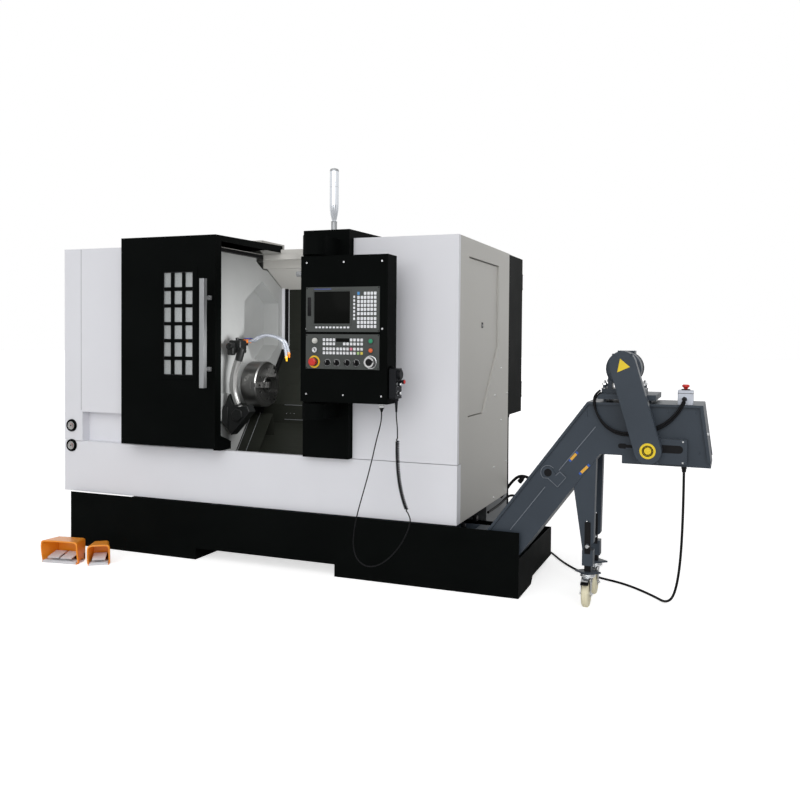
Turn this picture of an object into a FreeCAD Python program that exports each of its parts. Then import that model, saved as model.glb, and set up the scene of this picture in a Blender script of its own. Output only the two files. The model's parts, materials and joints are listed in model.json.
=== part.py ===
import FreeCAD, Part
import math
import os
from FreeCAD import Vector

# CNC turning lathe with its chip conveyor and foot switches, in millimetres.
# x runs to the right along the spindle, y to the rear and z up.
# The sizes are taken about a datum at the middle of the cabinet, 700 behind its
# front panels, on the floor; every piece is moved by `shift` when it is written,
# so that the origin lies on the floor under the middle of the whole machine.

# ---- driving dimensions -------------------------------------------------------

# cabinet
cabinetLength = 2550.0
cabinetTopZ = 1800.0
cabinetBottomZ = 325.0
frontY = -700.0            # face of the front panels
sideRearY = 269.0          # rear edge of the side panels
sheet = 2.5                # sheet metal thickness
fold = 28.0                # depth of a panel's folded edges
seam = 3.0                 # gap between neighbouring panels
gap = 0.3                  # clearance where pieces run or seat on each other
sillZ = 630.0              # top of the lower apron
apronWrap = 60.0           # how far the apron turns the right corner
pillarWidth = 125.0
recessX0, recessX1 = -1137.0, -840.0
recessTopZ = 812.0
recessDepth = 58.0
openingX0 = -235.0         # door opening, left edge
roofOpenRearY = -115.0     # rear edge of the opening in the roof

# sliding door
doorX0, doorX1 = -754.0, -107.0
doorFrontY = -800.0
doorThick = 55.0
doorBottomZ = 650.0
doorTopZ = cabinetTopZ + 38.0
doorRoofRearY = -95.0
doorRoofRise = 14.0        # the door's roof climbs this much to its rear edge
doorRoofBottomZ = cabinetTopZ + 7.0
doorTravel = 512.0
windowX0, windowX1 = -455.0, -244.0
windowZ0, windowZ1 = 1050.0, 1641.0
windowCols, windowRows = 3, 6
windowBar = 10.0
handleX = -140.0
handleSize = 30.0
handleZ0, handleZ1 = 993.0, 1590.0
handleStandoffs = (1094.0, 1488.0)
handleY = -865.0
railHeight = 28.0

# pendant column and swivelling control pendant
columnX0, columnX1 = 413.0, 685.0
columnFrontY = -745.0
columnCapRearY = -330.0
columnCapZ = cabinetTopZ + 46.0
pivotX, pivotY = 565.0, -892.0
armRadius = 63.0
armTopZ0, armTopZ1 = 1692.0, 1792.0
armLowZ0, armLowZ1 = 856.0, 938.0
pivotPinR = 12.0
pendantX0, pendantX1 = 516.0, 995.0
pendantY0, pendantY1 = -950.0, -840.0
pendantZ0, pendantZ1 = 948.0, 1683.0
unitX0, unitX1 = 548.0, 954.0
unitZ0, unitZ1 = 1302.0, 1525.0
screenX0, screenX1 = 594.0, 794.0
screenZ0, screenZ1 = 1343.0, 1503.0
boardZ0, boardZ1 = 1116.0, 1290.0
panelProud = 5.0
panelDeep = 14.0
stopX, stopZ = 597.0, 1151.0
startX, startZ = 910.0, 1257.0
holdX, holdZ = 910.0, 1211.0
selectorXs = (671.0, 722.0, 780.0, 831.0)
selectorZ = 1148.0
panelWheelX, panelWheelZ = 908.0, 1153.0
mushroomR = 20.0
buttonR = 11.0
selectorR = 14.0
panelWheelR = 27.0

# spindle, chuck and jaws
spindleY, spindleZ = -250.0, 985.0
chuckR = 140.0
chuckX0, chuckX1 = -222.0, -117.0
throughR = 38.0
barHoleR = 60.0            # in the left cover, for bar stock
jawAngles = (180.0, 60.0, -60.0)   # seen from the right, from the rear direction up
jawWidth = 34.0
jawInnerR, jawOuterR = 58.0, 136.0
jawRise = 50.0
noseR = 100.0
frontBearingR, rearBearingR = 85.0, 70.0

# slanted bed, carriage and turret
waySlope = 55.0            # the ways rise to the rear at this angle
coverDist = 284.0          # spindle axis to the fixed way cover
bedDist = 325.0            # spindle axis to the bed's machined face
wayLow = 20.0                      # lower end of the way cover, up the slope
railT = (75.0, 385.0)      # guide rails, up the slope
railWide, railTall = 45.0, 20.0
bedX0, bedX1 = -1150.0, 1210.0
bedShoulderZ = 760.0       # the rear covers stand on the bed's shoulder
headstockX0, headstockX1 = -1000.0, -440.0
carriageX0, carriageX1 = 520.0, 880.0
carriageTravel = 350.0
crossTravel = 150.0
turretT = 330.0            # turret centre, up the slope from the spindle
turretR = 150.0
turretStations = 8
tailX0, tailX1 = 985.0, 1150.0
tailTravel = 100.0
quillR = 34.0
quillTravel = 80.0

# inner walls
wallX = -310.0
wallSheet = 6.0
pocketDepth = 120.0
backWallY = 250.0
innerRightX = 1190.0
lipZ0 = 720.0
chuteY1, chuteZ1 = -330.0, 532.0
setterX, setterY, setterZ = -240.0, -395.0, 815.0

# tank and base
tankX0, tankX1 = -cabinetLength / 2 + 76, cabinetLength / 2 + 333
tankFrontY, tankRearY = -730.0, 20.0
tankFrontZ, tankRearZ = 325.0, 197.0
footRearY = -466.0
tankPlate = 5.0
undersideZ = 35.0
notchX0, notchX1, notchZ = -286.0, 600.0, 65.0

# chip conveyor
conveyorY0, conveyorY1 = -700.0, -420.0
conveyorX0 = -330.0
conveyorFloorZ = 80.0                        # underside of the flat run
inclineLowX, inclineLowZ = cabinetLength / 2 + 166, 324.0    # top flange where it leaves the tank
kneeRise = 654.0                             # top flange, from there up to the knee
kneeX, kneeZ = inclineLowX + 487, inclineLowZ + kneeRise
troughDepth = 197.0                          # square to the incline
headRightX, headLipX = kneeX + 524, kneeX + 561
headBottomZ = kneeZ - 285
headStepX, headStepZ = kneeX + 164, kneeZ - 247
conveyorPlate = 4.0
flangeProud = 12.0
conveyorSlope = math.degrees(math.atan2(kneeZ - inclineLowZ, kneeX - inclineLowX))
guardTopX, guardTopZ = kneeX + 173, kneeZ + 184
guardLowX, guardLowZ = kneeX + 291, kneeZ - 208
guardR = 60.0
motorPlateZ = kneeZ + 41                     # top of the motor's base plate
lugOutline = ((22, -16), (0, -27), (48, -67), (88, -18), (58, 8), (38, -12), (20, 18))
guardY0, guardY1 = -805.0, -745.0
motorR = 82.0
motorY0, motorY1 = -700.0, -440.0
legX, legZ = kneeX + 8, 256.0
legYs = (-672.0, -455.0)
casterX = legX
casterTopZ = 160.0
wheelR, wheelWide = 62.0, 32.0
casterTrail = 42.0
stopBoxX0, stopBoxX1 = kneeX + 411, kneeX + 479
stopBoxHeight = 66.0

# electrical cabinet
cabX0 = 300.0
cabRearY = 626.0
cabZ0 = 807.0

# power cable from the conveyor's head, over the floor, to the electrical cabinet
cableR = 6.0
glandDeep = 25.0

# foot switches
# front left corner on the floor, turn about it, width, height, narrowing of the rear
doubleGuard = (-1050.0, -1100.0, 8.0, 230.0, 125.0, 30.0)
singleGuard = (-755.0, -1065.0, 35.0, 118.0, 112.0, 18.0)
guardDeep = 115.0
guardWall = 4.0
guardRound = 16.0
pedalWide, pedalSpacing = 68.0, 82.0
pedalPinBack, pedalPinZ, pedalPinR = 84.0, 34.0, 4.0

# ---- values worked out from them ----------------------------------------------

cabX1 = cabinetLength / 2
leftX, rightX = -cabinetLength / 2, cabinetLength / 2
slopeCos, slopeSin = math.cos(math.radians(waySlope)), math.sin(math.radians(waySlope))
wayHigh = (backWallY - 9.0 - spindleY - coverDist * slopeSin) / slopeCos   # upper end of the way cover
lipY = spindleY + wayLow * slopeCos + coverDist * slopeSin + 0.9
troughZ = cabinetTopZ - 78                   # underside of the lamp trough
ceilingLowZ = cabinetTopZ - 200              # where the slanted ceiling meets the back wall
inclineDir = (math.cos(math.radians(conveyorSlope)), math.sin(math.radians(conveyorSlope)))
guardRise = math.atan2(guardTopZ - guardLowZ, guardTopX - guardLowX)
cableStart = (cabX1 + 1096, conveyorY0 + 22, headBottomZ - glandDeep - gap)
cableEnd = (cabX1 - 35, 402.0, cabZ0 - glandDeep - gap)
cableRoute = (
    cableStart, (cabX1 + 1096, -678, 423), (cabX1 + 1078, -640, 150), (cabX1 + 1035, -560, cableR),
    (cabX1 + 935, -430, cableR), (cabX1 + 795, -298, cableR), (cabX1 + 652, -236, cableR),
    (cabX1 + 556, -180, cableR), (cabX1 + 470, -90, cableR), (cabX1 + 383, 34, cableR),
    (cabX1 + 298, 187, cableR), (cabX1 + 190, 315, cableR), (cabX1 + 60, 385, cableR),
    (cabX1 - 13, 400, 40), (cabX1 - 35, 402, 130), cableEnd)


# ---- helpers ------------------------------------------------------------------

def box(x0, x1, y0, y1, z0, z1):
    return Part.makeBox(x1 - x0, y1 - y0, z1 - z0, Vector(x0, y0, z0))


def rod(axis, x, y, z, radius, length):
    return Part.makeCylinder(radius, length, Vector(x, y, z), axis)


def rodX(x0, x1, y, z, radius):
    return rod(Vector(1, 0, 0), x0, y, z, radius, x1 - x0)


def rodY(x, y0, y1, z, radius):
    return rod(Vector(0, 1, 0), x, y0, z, radius, y1 - y0)


def rodZ(x, y, z0, z1, radius):
    return rod(Vector(0, 0, 1), x, y, z0, radius, z1 - z0)


def prism(points, along):
    wire = Part.makePolygon([Vector(*p) for p in points] + [Vector(*points[0])])
    return Part.Face(wire).extrude(along)


def prismX(outline, x0, x1):
    return prism([(x0, y, z) for y, z in outline], Vector(x1 - x0, 0, 0))


def prismY(outline, y0, y1):
    return prism([(x, y0, z) for x, z in outline], Vector(0, y1 - y0, 0))


def prismZ(outline, z0, z1):
    return prism([(x, y, z0) for x, y in outline], Vector(0, 0, z1 - z0))


def join(first, *others):
    return first.fuse(list(others)).removeSplitter()


def cut(body, *tools):
    return body.cut(list(tools)) if tools else body


def turned(profile, x, y, z, axis):
    """Body of revolution from (distance along the axis, radius) points."""
    across = Vector(0, 0, 1) if abs(axis.z) < 0.5 else Vector(1, 0, 0)
    start = Vector(x, y, z)
    points = [start + axis * along + across * radius for along, radius in profile]
    face = Part.Face(Part.makePolygon(points + [points[0]]))
    return face.revolve(start, axis, 360)


def slot(x, y0, y1, z, length, width):
    """Round-ended slot along x, cut through in y."""
    half = length / 2 - width / 2
    ends = [rodY(x + side * half, y0, y1, z, width / 2) for side in (-1, 1)]
    return join(box(x - half, x + half, y0, y1, z - width / 2, z + width / 2), *ends)


def upSlope(t, distance):
    """Point (y, z) at t up the ways and at a distance behind the spindle axis."""
    y = spindleY + t * slopeCos + distance * slopeSin
    z = spindleZ + t * slopeSin - distance * slopeCos
    return (y, z)


def slab(x0, x1, t0, t1, near, far):
    """Block lying on the slanted ways."""
    corners = [upSlope(t0, near), upSlope(t1, near), upSlope(t1, far), upSlope(t0, far)]
    return prismX(corners, x0, x1)


def tray(x0, x1, y0, y1, z0, z1, opens):
    """Folded sheet panel: a box of sheet metal with one side left open."""
    inner = [x0 + sheet, x1 - sheet, y0 + sheet, y1 - sheet, z0 + sheet, z1 - sheet]
    side = {"-x": 0, "+x": 1, "-y": 2, "+y": 3, "-z": 4, "+z": 5}[opens]
    inner[side] += (2 * sheet) if side % 2 else (-2 * sheet)
    return cut(box(x0, x1, y0, y1, z0, z1), box(*inner))


def save(name, shape, shift):
    piece = shape.copy()
    piece.translate(shift)
    piece.exportStep("parts/" + name + ".step")


# ---- cabinet ------------------------------------------------------------------

def frontCoverLeft():
    z0 = sillZ + seam
    panel = tray(leftX, openingX0, frontY, frontY + fold, z0, cabinetTopZ, "+y")
    pocket = box(recessX0 - sheet, recessX1 + sheet, frontY, frontY + recessDepth, z0, recessTopZ + sheet)
    hollow = box(recessX0, recessX1, frontY - 1, frontY + recessDepth - sheet, z0 - 1, recessTopZ)
    groove = box(leftX + pillarWidth, leftX + pillarWidth + seam, frontY - 1, frontY + 1, recessTopZ, cabinetTopZ)
    gaugeHoles = [rodY(x, frontY - 1, frontY + fold, z, gaugeR + 0.5) for x, z in gaugePlaces if z > z0]
    return cut(join(panel, pocket), hollow, groove, *gaugeHoles)


def frontApron():
    panel = tray(leftX, rightX, frontY, frontY + fold, cabinetBottomZ, sillZ, "+y")
    wrap = box(rightX - sheet, rightX, frontY, frontY + apronWrap, cabinetBottomZ, sillZ)
    gaugeHoles = [rodY(x, frontY - 1, frontY + fold, z, gaugeR + 0.5) for x, z in gaugePlaces if z < sillZ]
    return cut(join(panel, wrap), *gaugeHoles)


def frontCoverRight():
    return tray(columnX1 + seam, rightX, frontY, frontY + fold, sillZ + seam, cabinetTopZ, "+y")


# the left side and the rear, as far as the electrical cabinet, are one folded cover
def sideCoverLeft():
    y0 = frontY + fold + gap
    side = box(leftX, leftX + sheet, y0, sideRearY, cabinetBottomZ, cabinetTopZ - sheet - gap)
    rear = box(leftX, rightX - fold - 0.5, sideRearY - sheet, sideRearY, bedShoulderZ + gap,
               cabinetTopZ - sheet - gap)
    strips = [box(x0, x1, sideRearY - sheet, sideRearY, cabinetBottomZ, bedShoulderZ + 5)
              for x0, x1 in ((leftX, bedX0 - seam), (bedX1 + seam, rightX - fold - 0.5))]
    sill = box(leftX, leftX + fold, y0, sideRearY, cabinetBottomZ, cabinetBottomZ + sheet)
    top = box(leftX, leftX + fold, y0, sideRearY, cabinetTopZ - 2 * sheet - gap, cabinetTopZ - sheet - gap)
    louvres = [box(ventX0, ventX1, sideRearY - fold, sideRearY + 1, z, z + ventSlot)
               for z in [ventZ + i * ventPitch for i in range(ventCount)]]
    barHole = rodX(leftX - 1, leftX + sheet + 1, spindleY, spindleZ, barHoleR)
    return cut(join(side, rear, *strips, sill, top), barHole, *louvres)


def sideCoverRight():
    y0 = frontY + fold + gap
    panel = tray(rightX - fold, rightX, y0, sideRearY, cabinetBottomZ, cabinetTopZ, "-x")
    rim = prismX(sideDoorOutline(-sheet), rightX - fold, rightX)
    hole = prismX(sideDoorOutline(0), rightX - fold - 1, rightX + 1)
    corner = box(rightX - fold - 1, rightX + 1, y0 - 1, frontY + apronWrap + seam, cabinetBottomZ - 1, sillZ + seam)
    lugs = []
    for z in hingeZs:
        for low in (z - hingeLong / 2 - hingeLug - gap, z + hingeLong / 2 + gap):
            lugs.append(box(hingeX - hingeR, hingeX + hingeR, sideDoorY0, hingeY, low, low + hingeLug))
            lugs.append(rodZ(hingeX, hingeY, low, low + hingeLug, hingeR))
        lugs.append(rodZ(hingeX, hingeY, z - hingeLong / 2 - hingeLug, z + hingeLong / 2 + hingeLug, hingePinR))
    return join(cut(join(panel, rim), hole, corner), *lugs)


sideDoorY0, sideDoorY1 = -530.0, 40.0
sideDoorZ0, sideDoorZ1 = 860.0, 1705.0
sideDoorKneeZ, sideDoorFootY = 1229.0, -255.0
sideDoorSunk = 11.0
hingeX, hingeY = rightX - sideDoorSunk, sideDoorY0 + 6.0
hingeR, hingePinR, hingeLong, hingeLug = 5.0, 2.5, 60.0, 10.0
hingeZs = (950.0, 1600.0)


def sideDoorOutline(inset):
    """Access door on the right side, cut away below its rear corner."""
    run = math.hypot(sideDoorY1 - sideDoorFootY, sideDoorKneeZ - sideDoorZ0)
    slide = inset * (run - (sideDoorKneeZ - sideDoorZ0)) / (sideDoorY1 - sideDoorFootY)
    lean = inset * (run - (sideDoorY1 - sideDoorFootY)) / (sideDoorKneeZ - sideDoorZ0)
    return [(sideDoorY0 + inset, sideDoorZ1 - inset), (sideDoorY1 - inset, sideDoorZ1 - inset),
            (sideDoorY1 - inset, sideDoorKneeZ + slide), (sideDoorFootY - lean, sideDoorZ0 + inset),
            (sideDoorY0 + inset, sideDoorZ0 + inset)]


def sideDoor():
    x0, x1 = rightX - sideDoorSunk - 12, rightX - sideDoorSunk
    leaf = prismX(sideDoorOutline(5.0), x0, x1)
    hollow = prismX(sideDoorOutline(5.0 + sheet), x0 - 1, x1 - sheet)
    latch = box(x1 - sheet - 8, x1, -272, -232, 1328, 1374)
    grip = box(x1 - 6, x1 + 1, -265, -239, 1335, 1367)
    sockets = [rodZ(hingeX, hingeY, z - hingeLong / 2 - hingeLug - 1, z + hingeLong / 2 + hingeLug + 1, hingeR + 1)
               for z in hingeZs]
    shell = cut(join(cut(leaf, hollow), latch), grip, *sockets)
    knuckles = []
    for z in hingeZs:
        web = box(hingeX - 3, hingeX, hingeY, hingeY + 14, z - hingeLong / 2, z + hingeLong / 2)
        knuckles.append(join(rodZ(hingeX, hingeY, z - hingeLong / 2, z + hingeLong / 2, hingeR), web))
    bores = [rodZ(hingeX, hingeY, z - hingeLong, z + hingeLong, hingePinR + 0.05) for z in hingeZs]
    return cut(join(shell, *knuckles), *bores)


# roof with the notch over the door opening, its folded rear edge, the lamp
# trough behind it, the slanted ceiling, the door's rail and the housing on top
def roofCover():
    z0 = cabinetTopZ - sheet
    y0 = frontY + fold + gap
    top = box(leftX, rightX - fold - 0.5, y0, sideRearY - sheet - 0.5, z0, cabinetTopZ)
    notch = box(openingX0, columnX0, y0 - 1, roofOpenRearY, z0 - 1, cabinetTopZ + 1)
    edge = box(openingX0, columnX0, roofOpenRearY, roofOpenRearY + 40, cabinetTopZ - 33, cabinetTopZ)
    trough = box(wallX, innerRightX, 2, 50, troughZ, cabinetTopZ - sheet)
    ceiling = prismX([(50, troughZ), (50, troughZ + 3), (backWallY + 3, ceilingLowZ + 4), (backWallY + 3, ceilingLowZ + 1),
                      (backWallY, ceilingLowZ + 1)],
                     wallX, innerRightX)
    lamp = rodX(20, 330, -24, troughZ + 23, 17)
    lampHook = box(150, 190, -24, 2, troughZ + 19, troughZ + 27)
    rail = box(doorX0 - 6, columnX0 - 6, roofOpenRearY + 3, roofOpenRearY + 11, cabinetTopZ - sheet, cabinetTopZ + railHeight)
    housing = tray(-640, wallX, -14, sideRearY - sheet - 0.5, z0, cabinetTopZ + 106, "-z")
    return join(cut(top, notch), edge, trough, ceiling, lamp, lampHook, rail, housing)


gaugeR = 21.0
gaugePlaces = ((-1218.0, 725.0), (-1218.0, 592.0))
ventX0, ventX1, ventZ, ventSlot, ventPitch, ventCount = -1150.0, -850.0, 1250.0, 10.0, 30.0, 12


def pressureGauges():
    pieces = []
    for x, z in gaugePlaces:
        bezel = turned([(-9, 0), (-9, gaugeR - 4), (-6, gaugeR), (-6, gaugeR + 4), (0, gaugeR + 4), (0, gaugeR),
                        (26, gaugeR), (26, 7), (44, 7), (44, 0)], x, frontY, z, Vector(0, 1, 0))
        dial = rodY(x, frontY - 10, frontY - 7, z, gaugeR - 6)
        pieces.append(cut(bezel, dial))
    return Part.makeCompound(pieces)


# ---- sliding door ---------------------------------------------------------------

def doorPanel():
    inner = doorFrontY + doorThick
    rearTop = doorTopZ + doorRoofRise
    outside = [(doorFrontY, doorBottomZ), (doorFrontY, doorTopZ), (doorRoofRearY, rearTop),
               (doorRoofRearY, doorRoofBottomZ), (inner, doorRoofBottomZ), (inner, doorBottomZ)]
    inside = [(doorFrontY + sheet, doorBottomZ + sheet), (doorFrontY + sheet, doorTopZ - sheet),
              (doorRoofRearY - sheet, rearTop - sheet), (doorRoofRearY - sheet, doorRoofBottomZ - 5),
              (inner + 5, doorRoofBottomZ - 5), (inner + 5, doorBottomZ + sheet)]
    shell = cut(prismX(outside, doorX0, doorX1), prismX(inside, doorX0 + sheet, doorX1 - sheet))
    paneX = (windowX1 - windowX0 - (windowCols - 1) * windowBar) / windowCols
    paneZ = (windowZ1 - windowZ0 - (windowRows - 1) * windowBar) / windowRows
    panes = []
    for col in range(windowCols):
        for row in range(windowRows):
            x = windowX0 + col * (paneX + windowBar)
            z = windowZ0 + row * (paneZ + windowBar)
            panes.append(box(x, x + paneX, doorFrontY - 1, doorFrontY + sheet + 1, z, z + paneZ))
    shoe = prismX([(inner - 10, 719), (inner, 719), (-648, 680), (-648, 636), (inner - 10, 636)], doorX1 - 43, doorX1)
    railSlot = box(doorX0 - 1, doorX1 + 1, roofOpenRearY - 2, roofOpenRearY + 16, doorRoofBottomZ - 5,
                   cabinetTopZ + railHeight + 4)
    rollerZ = cabinetTopZ + railHeight + gap
    rollers = [box(x, x + 60, roofOpenRearY + 3, roofOpenRearY + 11, rollerZ, rearTop - sheet)
               for x in (doorX0 + 40, doorX1 - 100)]
    guides = [box(x, x + 60, roofOpenRearY + 11 + gap, roofOpenRearY + 14, doorRoofBottomZ + 3, rearTop - sheet)
              for x in (doorX0 + 40, doorX1 - 100)]
    return join(cut(join(shell, shoe), railSlot, *panes), *rollers, *guides)


def doorWindow():
    margin = 14.0
    y0 = doorFrontY + sheet
    frame = box(windowX0 - margin, windowX1 + margin, y0, y0 + 14, windowZ0 - margin, windowZ1 + margin)
    rebate = box(windowX0, windowX1, y0 + 8, y0 + 15, windowZ0, windowZ1)
    return cut(frame, rebate)


def doorHandle():
    half = handleSize / 2
    bar = box(handleX - half, handleX + half, handleY - half, handleY + half, handleZ0, handleZ1)
    bar = bar.makeFillet(3.0, [e for e in bar.Edges if abs(e.tangentAt(e.FirstParameter).z) > 0.9])
    standoffs = [rodY(handleX, handleY, doorFrontY, z, 9) for z in handleStandoffs]
    return join(bar, *standoffs)


# ---- pendant column and pendant ---------------------------------------------------

def pendantColumn():
    inner = frontY + fold
    outside = [(columnFrontY, sillZ + seam), (columnFrontY, columnCapZ - 3), (columnCapRearY, columnCapZ + 6),
               (columnCapRearY, cabinetTopZ + gap), (inner, cabinetTopZ + gap), (inner, sillZ + seam)]
    inside = [(columnFrontY + sheet, sillZ + seam + sheet), (columnFrontY + sheet, columnCapZ - 3 - sheet),
              (columnCapRearY - sheet, columnCapZ + 6 - sheet), (columnCapRearY - sheet, cabinetTopZ - 5),
              (inner + 5, cabinetTopZ - 5), (inner + 5, sillZ + seam + sheet)]
    shell = cut(prismX(outside, columnX0, columnX1 - 0.5), prismX(inside, columnX0 + sheet, columnX1 - 0.5 - sheet))
    arms = []
    for z0, z1 in ((armTopZ0, armTopZ1), (armLowZ0, armLowZ1)):
        block = box(pivotX - armRadius, pivotX + armRadius, pivotY, columnFrontY, z0, z1)
        arms.append(join(block, rodZ(pivotX, pivotY, z0, z1, armRadius)))
    pins = [rodZ(pivotX, pivotY, pendantZ1 - 30, armTopZ0, pivotPinR),
            rodZ(pivotX, pivotY, armLowZ1, pendantZ0 + 30, pivotPinR),
            rodZ(pivotX, pivotY, pendantZ1 + gap, armTopZ0, pivotPinR + 12),
            rodZ(pivotX, pivotY, armLowZ1, pendantZ0 - gap, pivotPinR + 12)]
    return join(shell, *arms, *pins)


def pendantBox():
    body = box(pendantX0, pendantX1, pendantY0, pendantY1, pendantZ0, pendantZ1)
    back = box(pendantX0 + 90, pendantX1 - 14, pendantY1 - 60, pendantY1 - sheet, pendantZ0 + 14, pendantZ1 - 14)
    service = box(pendantX0 + 140, pendantX1 - 60, pendantY1 - sheet - 1, pendantY1 + 1, pendantZ0 + 90, pendantZ1 - 90)
    seats = [box(unitX0 - 0.5, unitX1 + 0.5, pendantY0 - 1, pendantY0 + panelDeep, z0 - 0.5, z1 + 0.5)
             for z0, z1 in ((unitZ0, unitZ1), (boardZ0, boardZ1))]
    pinHoles = [rodZ(pivotX, pivotY, pendantZ1 - 31, pendantZ1 + 1, pivotPinR + 0.05),
                rodZ(pivotX, pivotY, pendantZ0 - 1, pendantZ0 + 31, pivotPinR + 0.05)]
    wells = [rodY(x, pendantY0, pendantY0 + panelDeep + 9, z, r + 1) for x, z, r in panelControls()]
    gland = turned([(0, 0), (0, 9), (14, 9), (14, 12), (26, 12), (26, 7), (40, 5), (40, 0)],
                   glandX, glandY, pendantZ0, Vector(0, 0, -1))
    return join(cut(body, back, service, *seats, *pinHoles, *wells), gland)


def panelControls():
    """Centre and stem radius of each control that goes through the lower board."""
    controls = [(stopX, stopZ, mushroomR - 6), (startX, startZ, buttonR - 3), (holdX, holdZ, buttonR - 3)]
    controls += [(x, selectorZ, 5.0) for x in selectorXs]
    controls.append((panelWheelX, panelWheelZ, 8.0))
    return controls


def controlPanels():
    front, rear = pendantY0 - panelProud, pendantY0 + panelDeep - 0.5
    upper = box(unitX0, unitX1, front, rear, unitZ0, unitZ1)
    screen = box(screenX0, screenX1, front - 1, front + 4, screenZ0, screenZ1)
    card = box(unitX0 + 10, unitX0 + 28, front - 1, front + 1.5, unitZ0 + 78, unitZ1 - 50)
    lower = box(unitX0, unitX1, front, rear, boardZ0, boardZ1)
    holes = [rodY(x, front - 1, rear + 1, z, r + gap) for x, z, r in panelControls()]
    stops = [turned([(-2, mushroomR + 2), (-2, mushroomR + 9), (0, mushroomR + 9), (0, mushroomR + 2)],
                    stopX, front, stopZ, Vector(0, 1, 0))]
    return Part.makeCompound([cut(upper, screen, card), join(cut(lower, *holes), *stops)])


def pressButton(x, z, radius, stem, proud, front):
    """Push button: a cap in front of the board and a stem through it."""
    return turned([(-proud, 0), (-proud, radius - 2), (2 - proud, radius), (-3, radius), (-3, stem),
                   (panelDeep - 1, stem), (panelDeep - 1, 0)], x, front, z, Vector(0, 1, 0))


def stopButton(x, z, front):
    """Emergency stop: mushroom head on a neck."""
    stem = mushroomR - 6
    return turned([(-32, 0), (-32, mushroomR - 5), (-28, mushroomR), (-20, mushroomR), (-14, stem),
                   (panelDeep - 1, stem), (panelDeep - 1, 0)], x, front, z, Vector(0, 1, 0))


def selectorKnob(x, front):
    """Rotary switch: a skirted knob with a finger bar across its face."""
    skirt = turned([(-9, 0), (-9, selectorR - 1), (-0.5, selectorR), (-0.5, 5), (panelDeep - 1, 5),
                    (panelDeep - 1, 0)], x, front, selectorZ, Vector(0, 1, 0))
    bar = box(x - 4, x + 4, front - 20, front - 8, selectorZ - selectorR + 2, selectorZ + selectorR - 2)
    return join(skirt, bar)


def panelHandwheel(front):
    wheel = turned([(-22, 0), (-22, panelWheelR - 9), (-20, panelWheelR - 7), (-20, panelWheelR - 1),
                    (-18, panelWheelR), (-3, panelWheelR), (-3, 8), (panelDeep - 1, 8), (panelDeep - 1, 0)],
                   panelWheelX, front, panelWheelZ, Vector(0, 1, 0))
    finger = rodY(panelWheelX + 17, front - 36, front - 18, panelWheelZ + 4, 5)
    return join(wheel, finger)


# ---- handheld pulse unit on its cord -------------------------------------------------

handX0, handX1 = 1000.0, 1036.0
handY0, handY1 = -937.0, -863.0
handZ0, handZ1 = 975.0, 1124.0
cordR = 3.0
glandX, glandY = 945.0, -900.0
cordY = -900.0
# straight lead, from the strain relief under the unit down to the curls
leadRoute = [(1024, 909), (1024, 884), (1028, 853), (1031, 822)]
# curly part: its axis bends to the right as it comes down
curlTopX, curlTopZ = 1031.0, 791.0
curlDrop, curlSwing = 383.0, 62.0
curlRadius = 7.5           # of the cord's centre line about that axis
curlCount = 40
curlStretch = 2.0          # the first and last curl are drawn out by this many more
curlPoints = 2             # points of the centre line to a curl
# thin tail, from the lowest curl down, round and up to the gland under the pendant
tailRoute = [(1103, 366), (1091, 327), (1064, 270), (1022, 212), (966, 158), (905, 127),
             (848, 130), (808, 166), (792, 226), (797, 300), (815, 388), (842, 480), (872, 580), (897, 676),
             (917, 762), (934, 822), (945, 868), (945, 908)]


def handUnit():
    case = box(handX0, handX1, handY0, handY1, handZ0, handZ1)
    case = case.makeFillet(6.0, [e for e in case.Edges if abs(e.tangentAt(e.FirstParameter).x) > 0.9])
    middle = (handY0 + handY1) / 2
    x = (handX0 + handX1) / 2 + 6
    dial = turned([(0, 0), (0, 26), (4, 26), (6, 23), (14, 23), (14, 0)], handX1, middle, handZ1 - 30, Vector(1, 0, 0))
    stop = turned([(0, 0), (0, 6), (12, 6), (14, 10), (24, 10), (26, 7), (26, 0)], handX1, middle + 12, handZ1 - 66,
                  Vector(1, 0, 0))
    knobs = [rodX(handX1, handX1 + 16, middle - 14, z, 9) for z in (handZ0 + 70, handZ0 + 28)]
    hook = box(pendantX1, handX0, middle - 20, middle + 20, handZ0 + 30, handZ0 + 110)
    relief = turned([(0, 0), (0, 11), (10, 11), (12, 8), (handZ0 - leadRoute[0][1], 5), (handZ0 - leadRoute[0][1], 0)],
                    x, cordY, handZ0, Vector(0, 0, -1))
    return join(case, dial, stop, *knobs, hook, relief)


def bend(first, corner, last):
    """Tangent arc from `first` to `last`, both as far from the corner, and its radius."""
    back, ahead = (first - corner), (last - corner)
    turn = math.pi - back.getAngle(ahead)
    if turn < 1e-4:
        return Part.LineSegment(first, last).toShape(), math.inf
    reach = back.Length
    radius = reach / math.tan(turn / 2)
    centre = corner + (back.normalize() + ahead.normalize()).normalize() * math.hypot(reach, radius)
    middle = centre + (corner - centre).normalize() * radius
    return Part.Arc(first, middle, last).toShape(), radius


def rounded(points):
    """Edges along straight runs and the largest arcs they allow, with the least radius."""
    edges, radii, here = [], [], points[0]
    for before, corner, after in zip(points, points[1:], points[2:]):
        reach = 0.45 * min((before - corner).Length, (after - corner).Length)
        first = corner + (before - corner).normalize() * reach
        last = corner + (after - corner).normalize() * reach
        arc, radius = bend(first, corner, last)
        edges += [Part.LineSegment(here, first).toShape(), arc]
        radii.append(radius)
        here = last
    edges.append(Part.LineSegment(here, points[-1]).toShape())
    return edges, min(radii)


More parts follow.
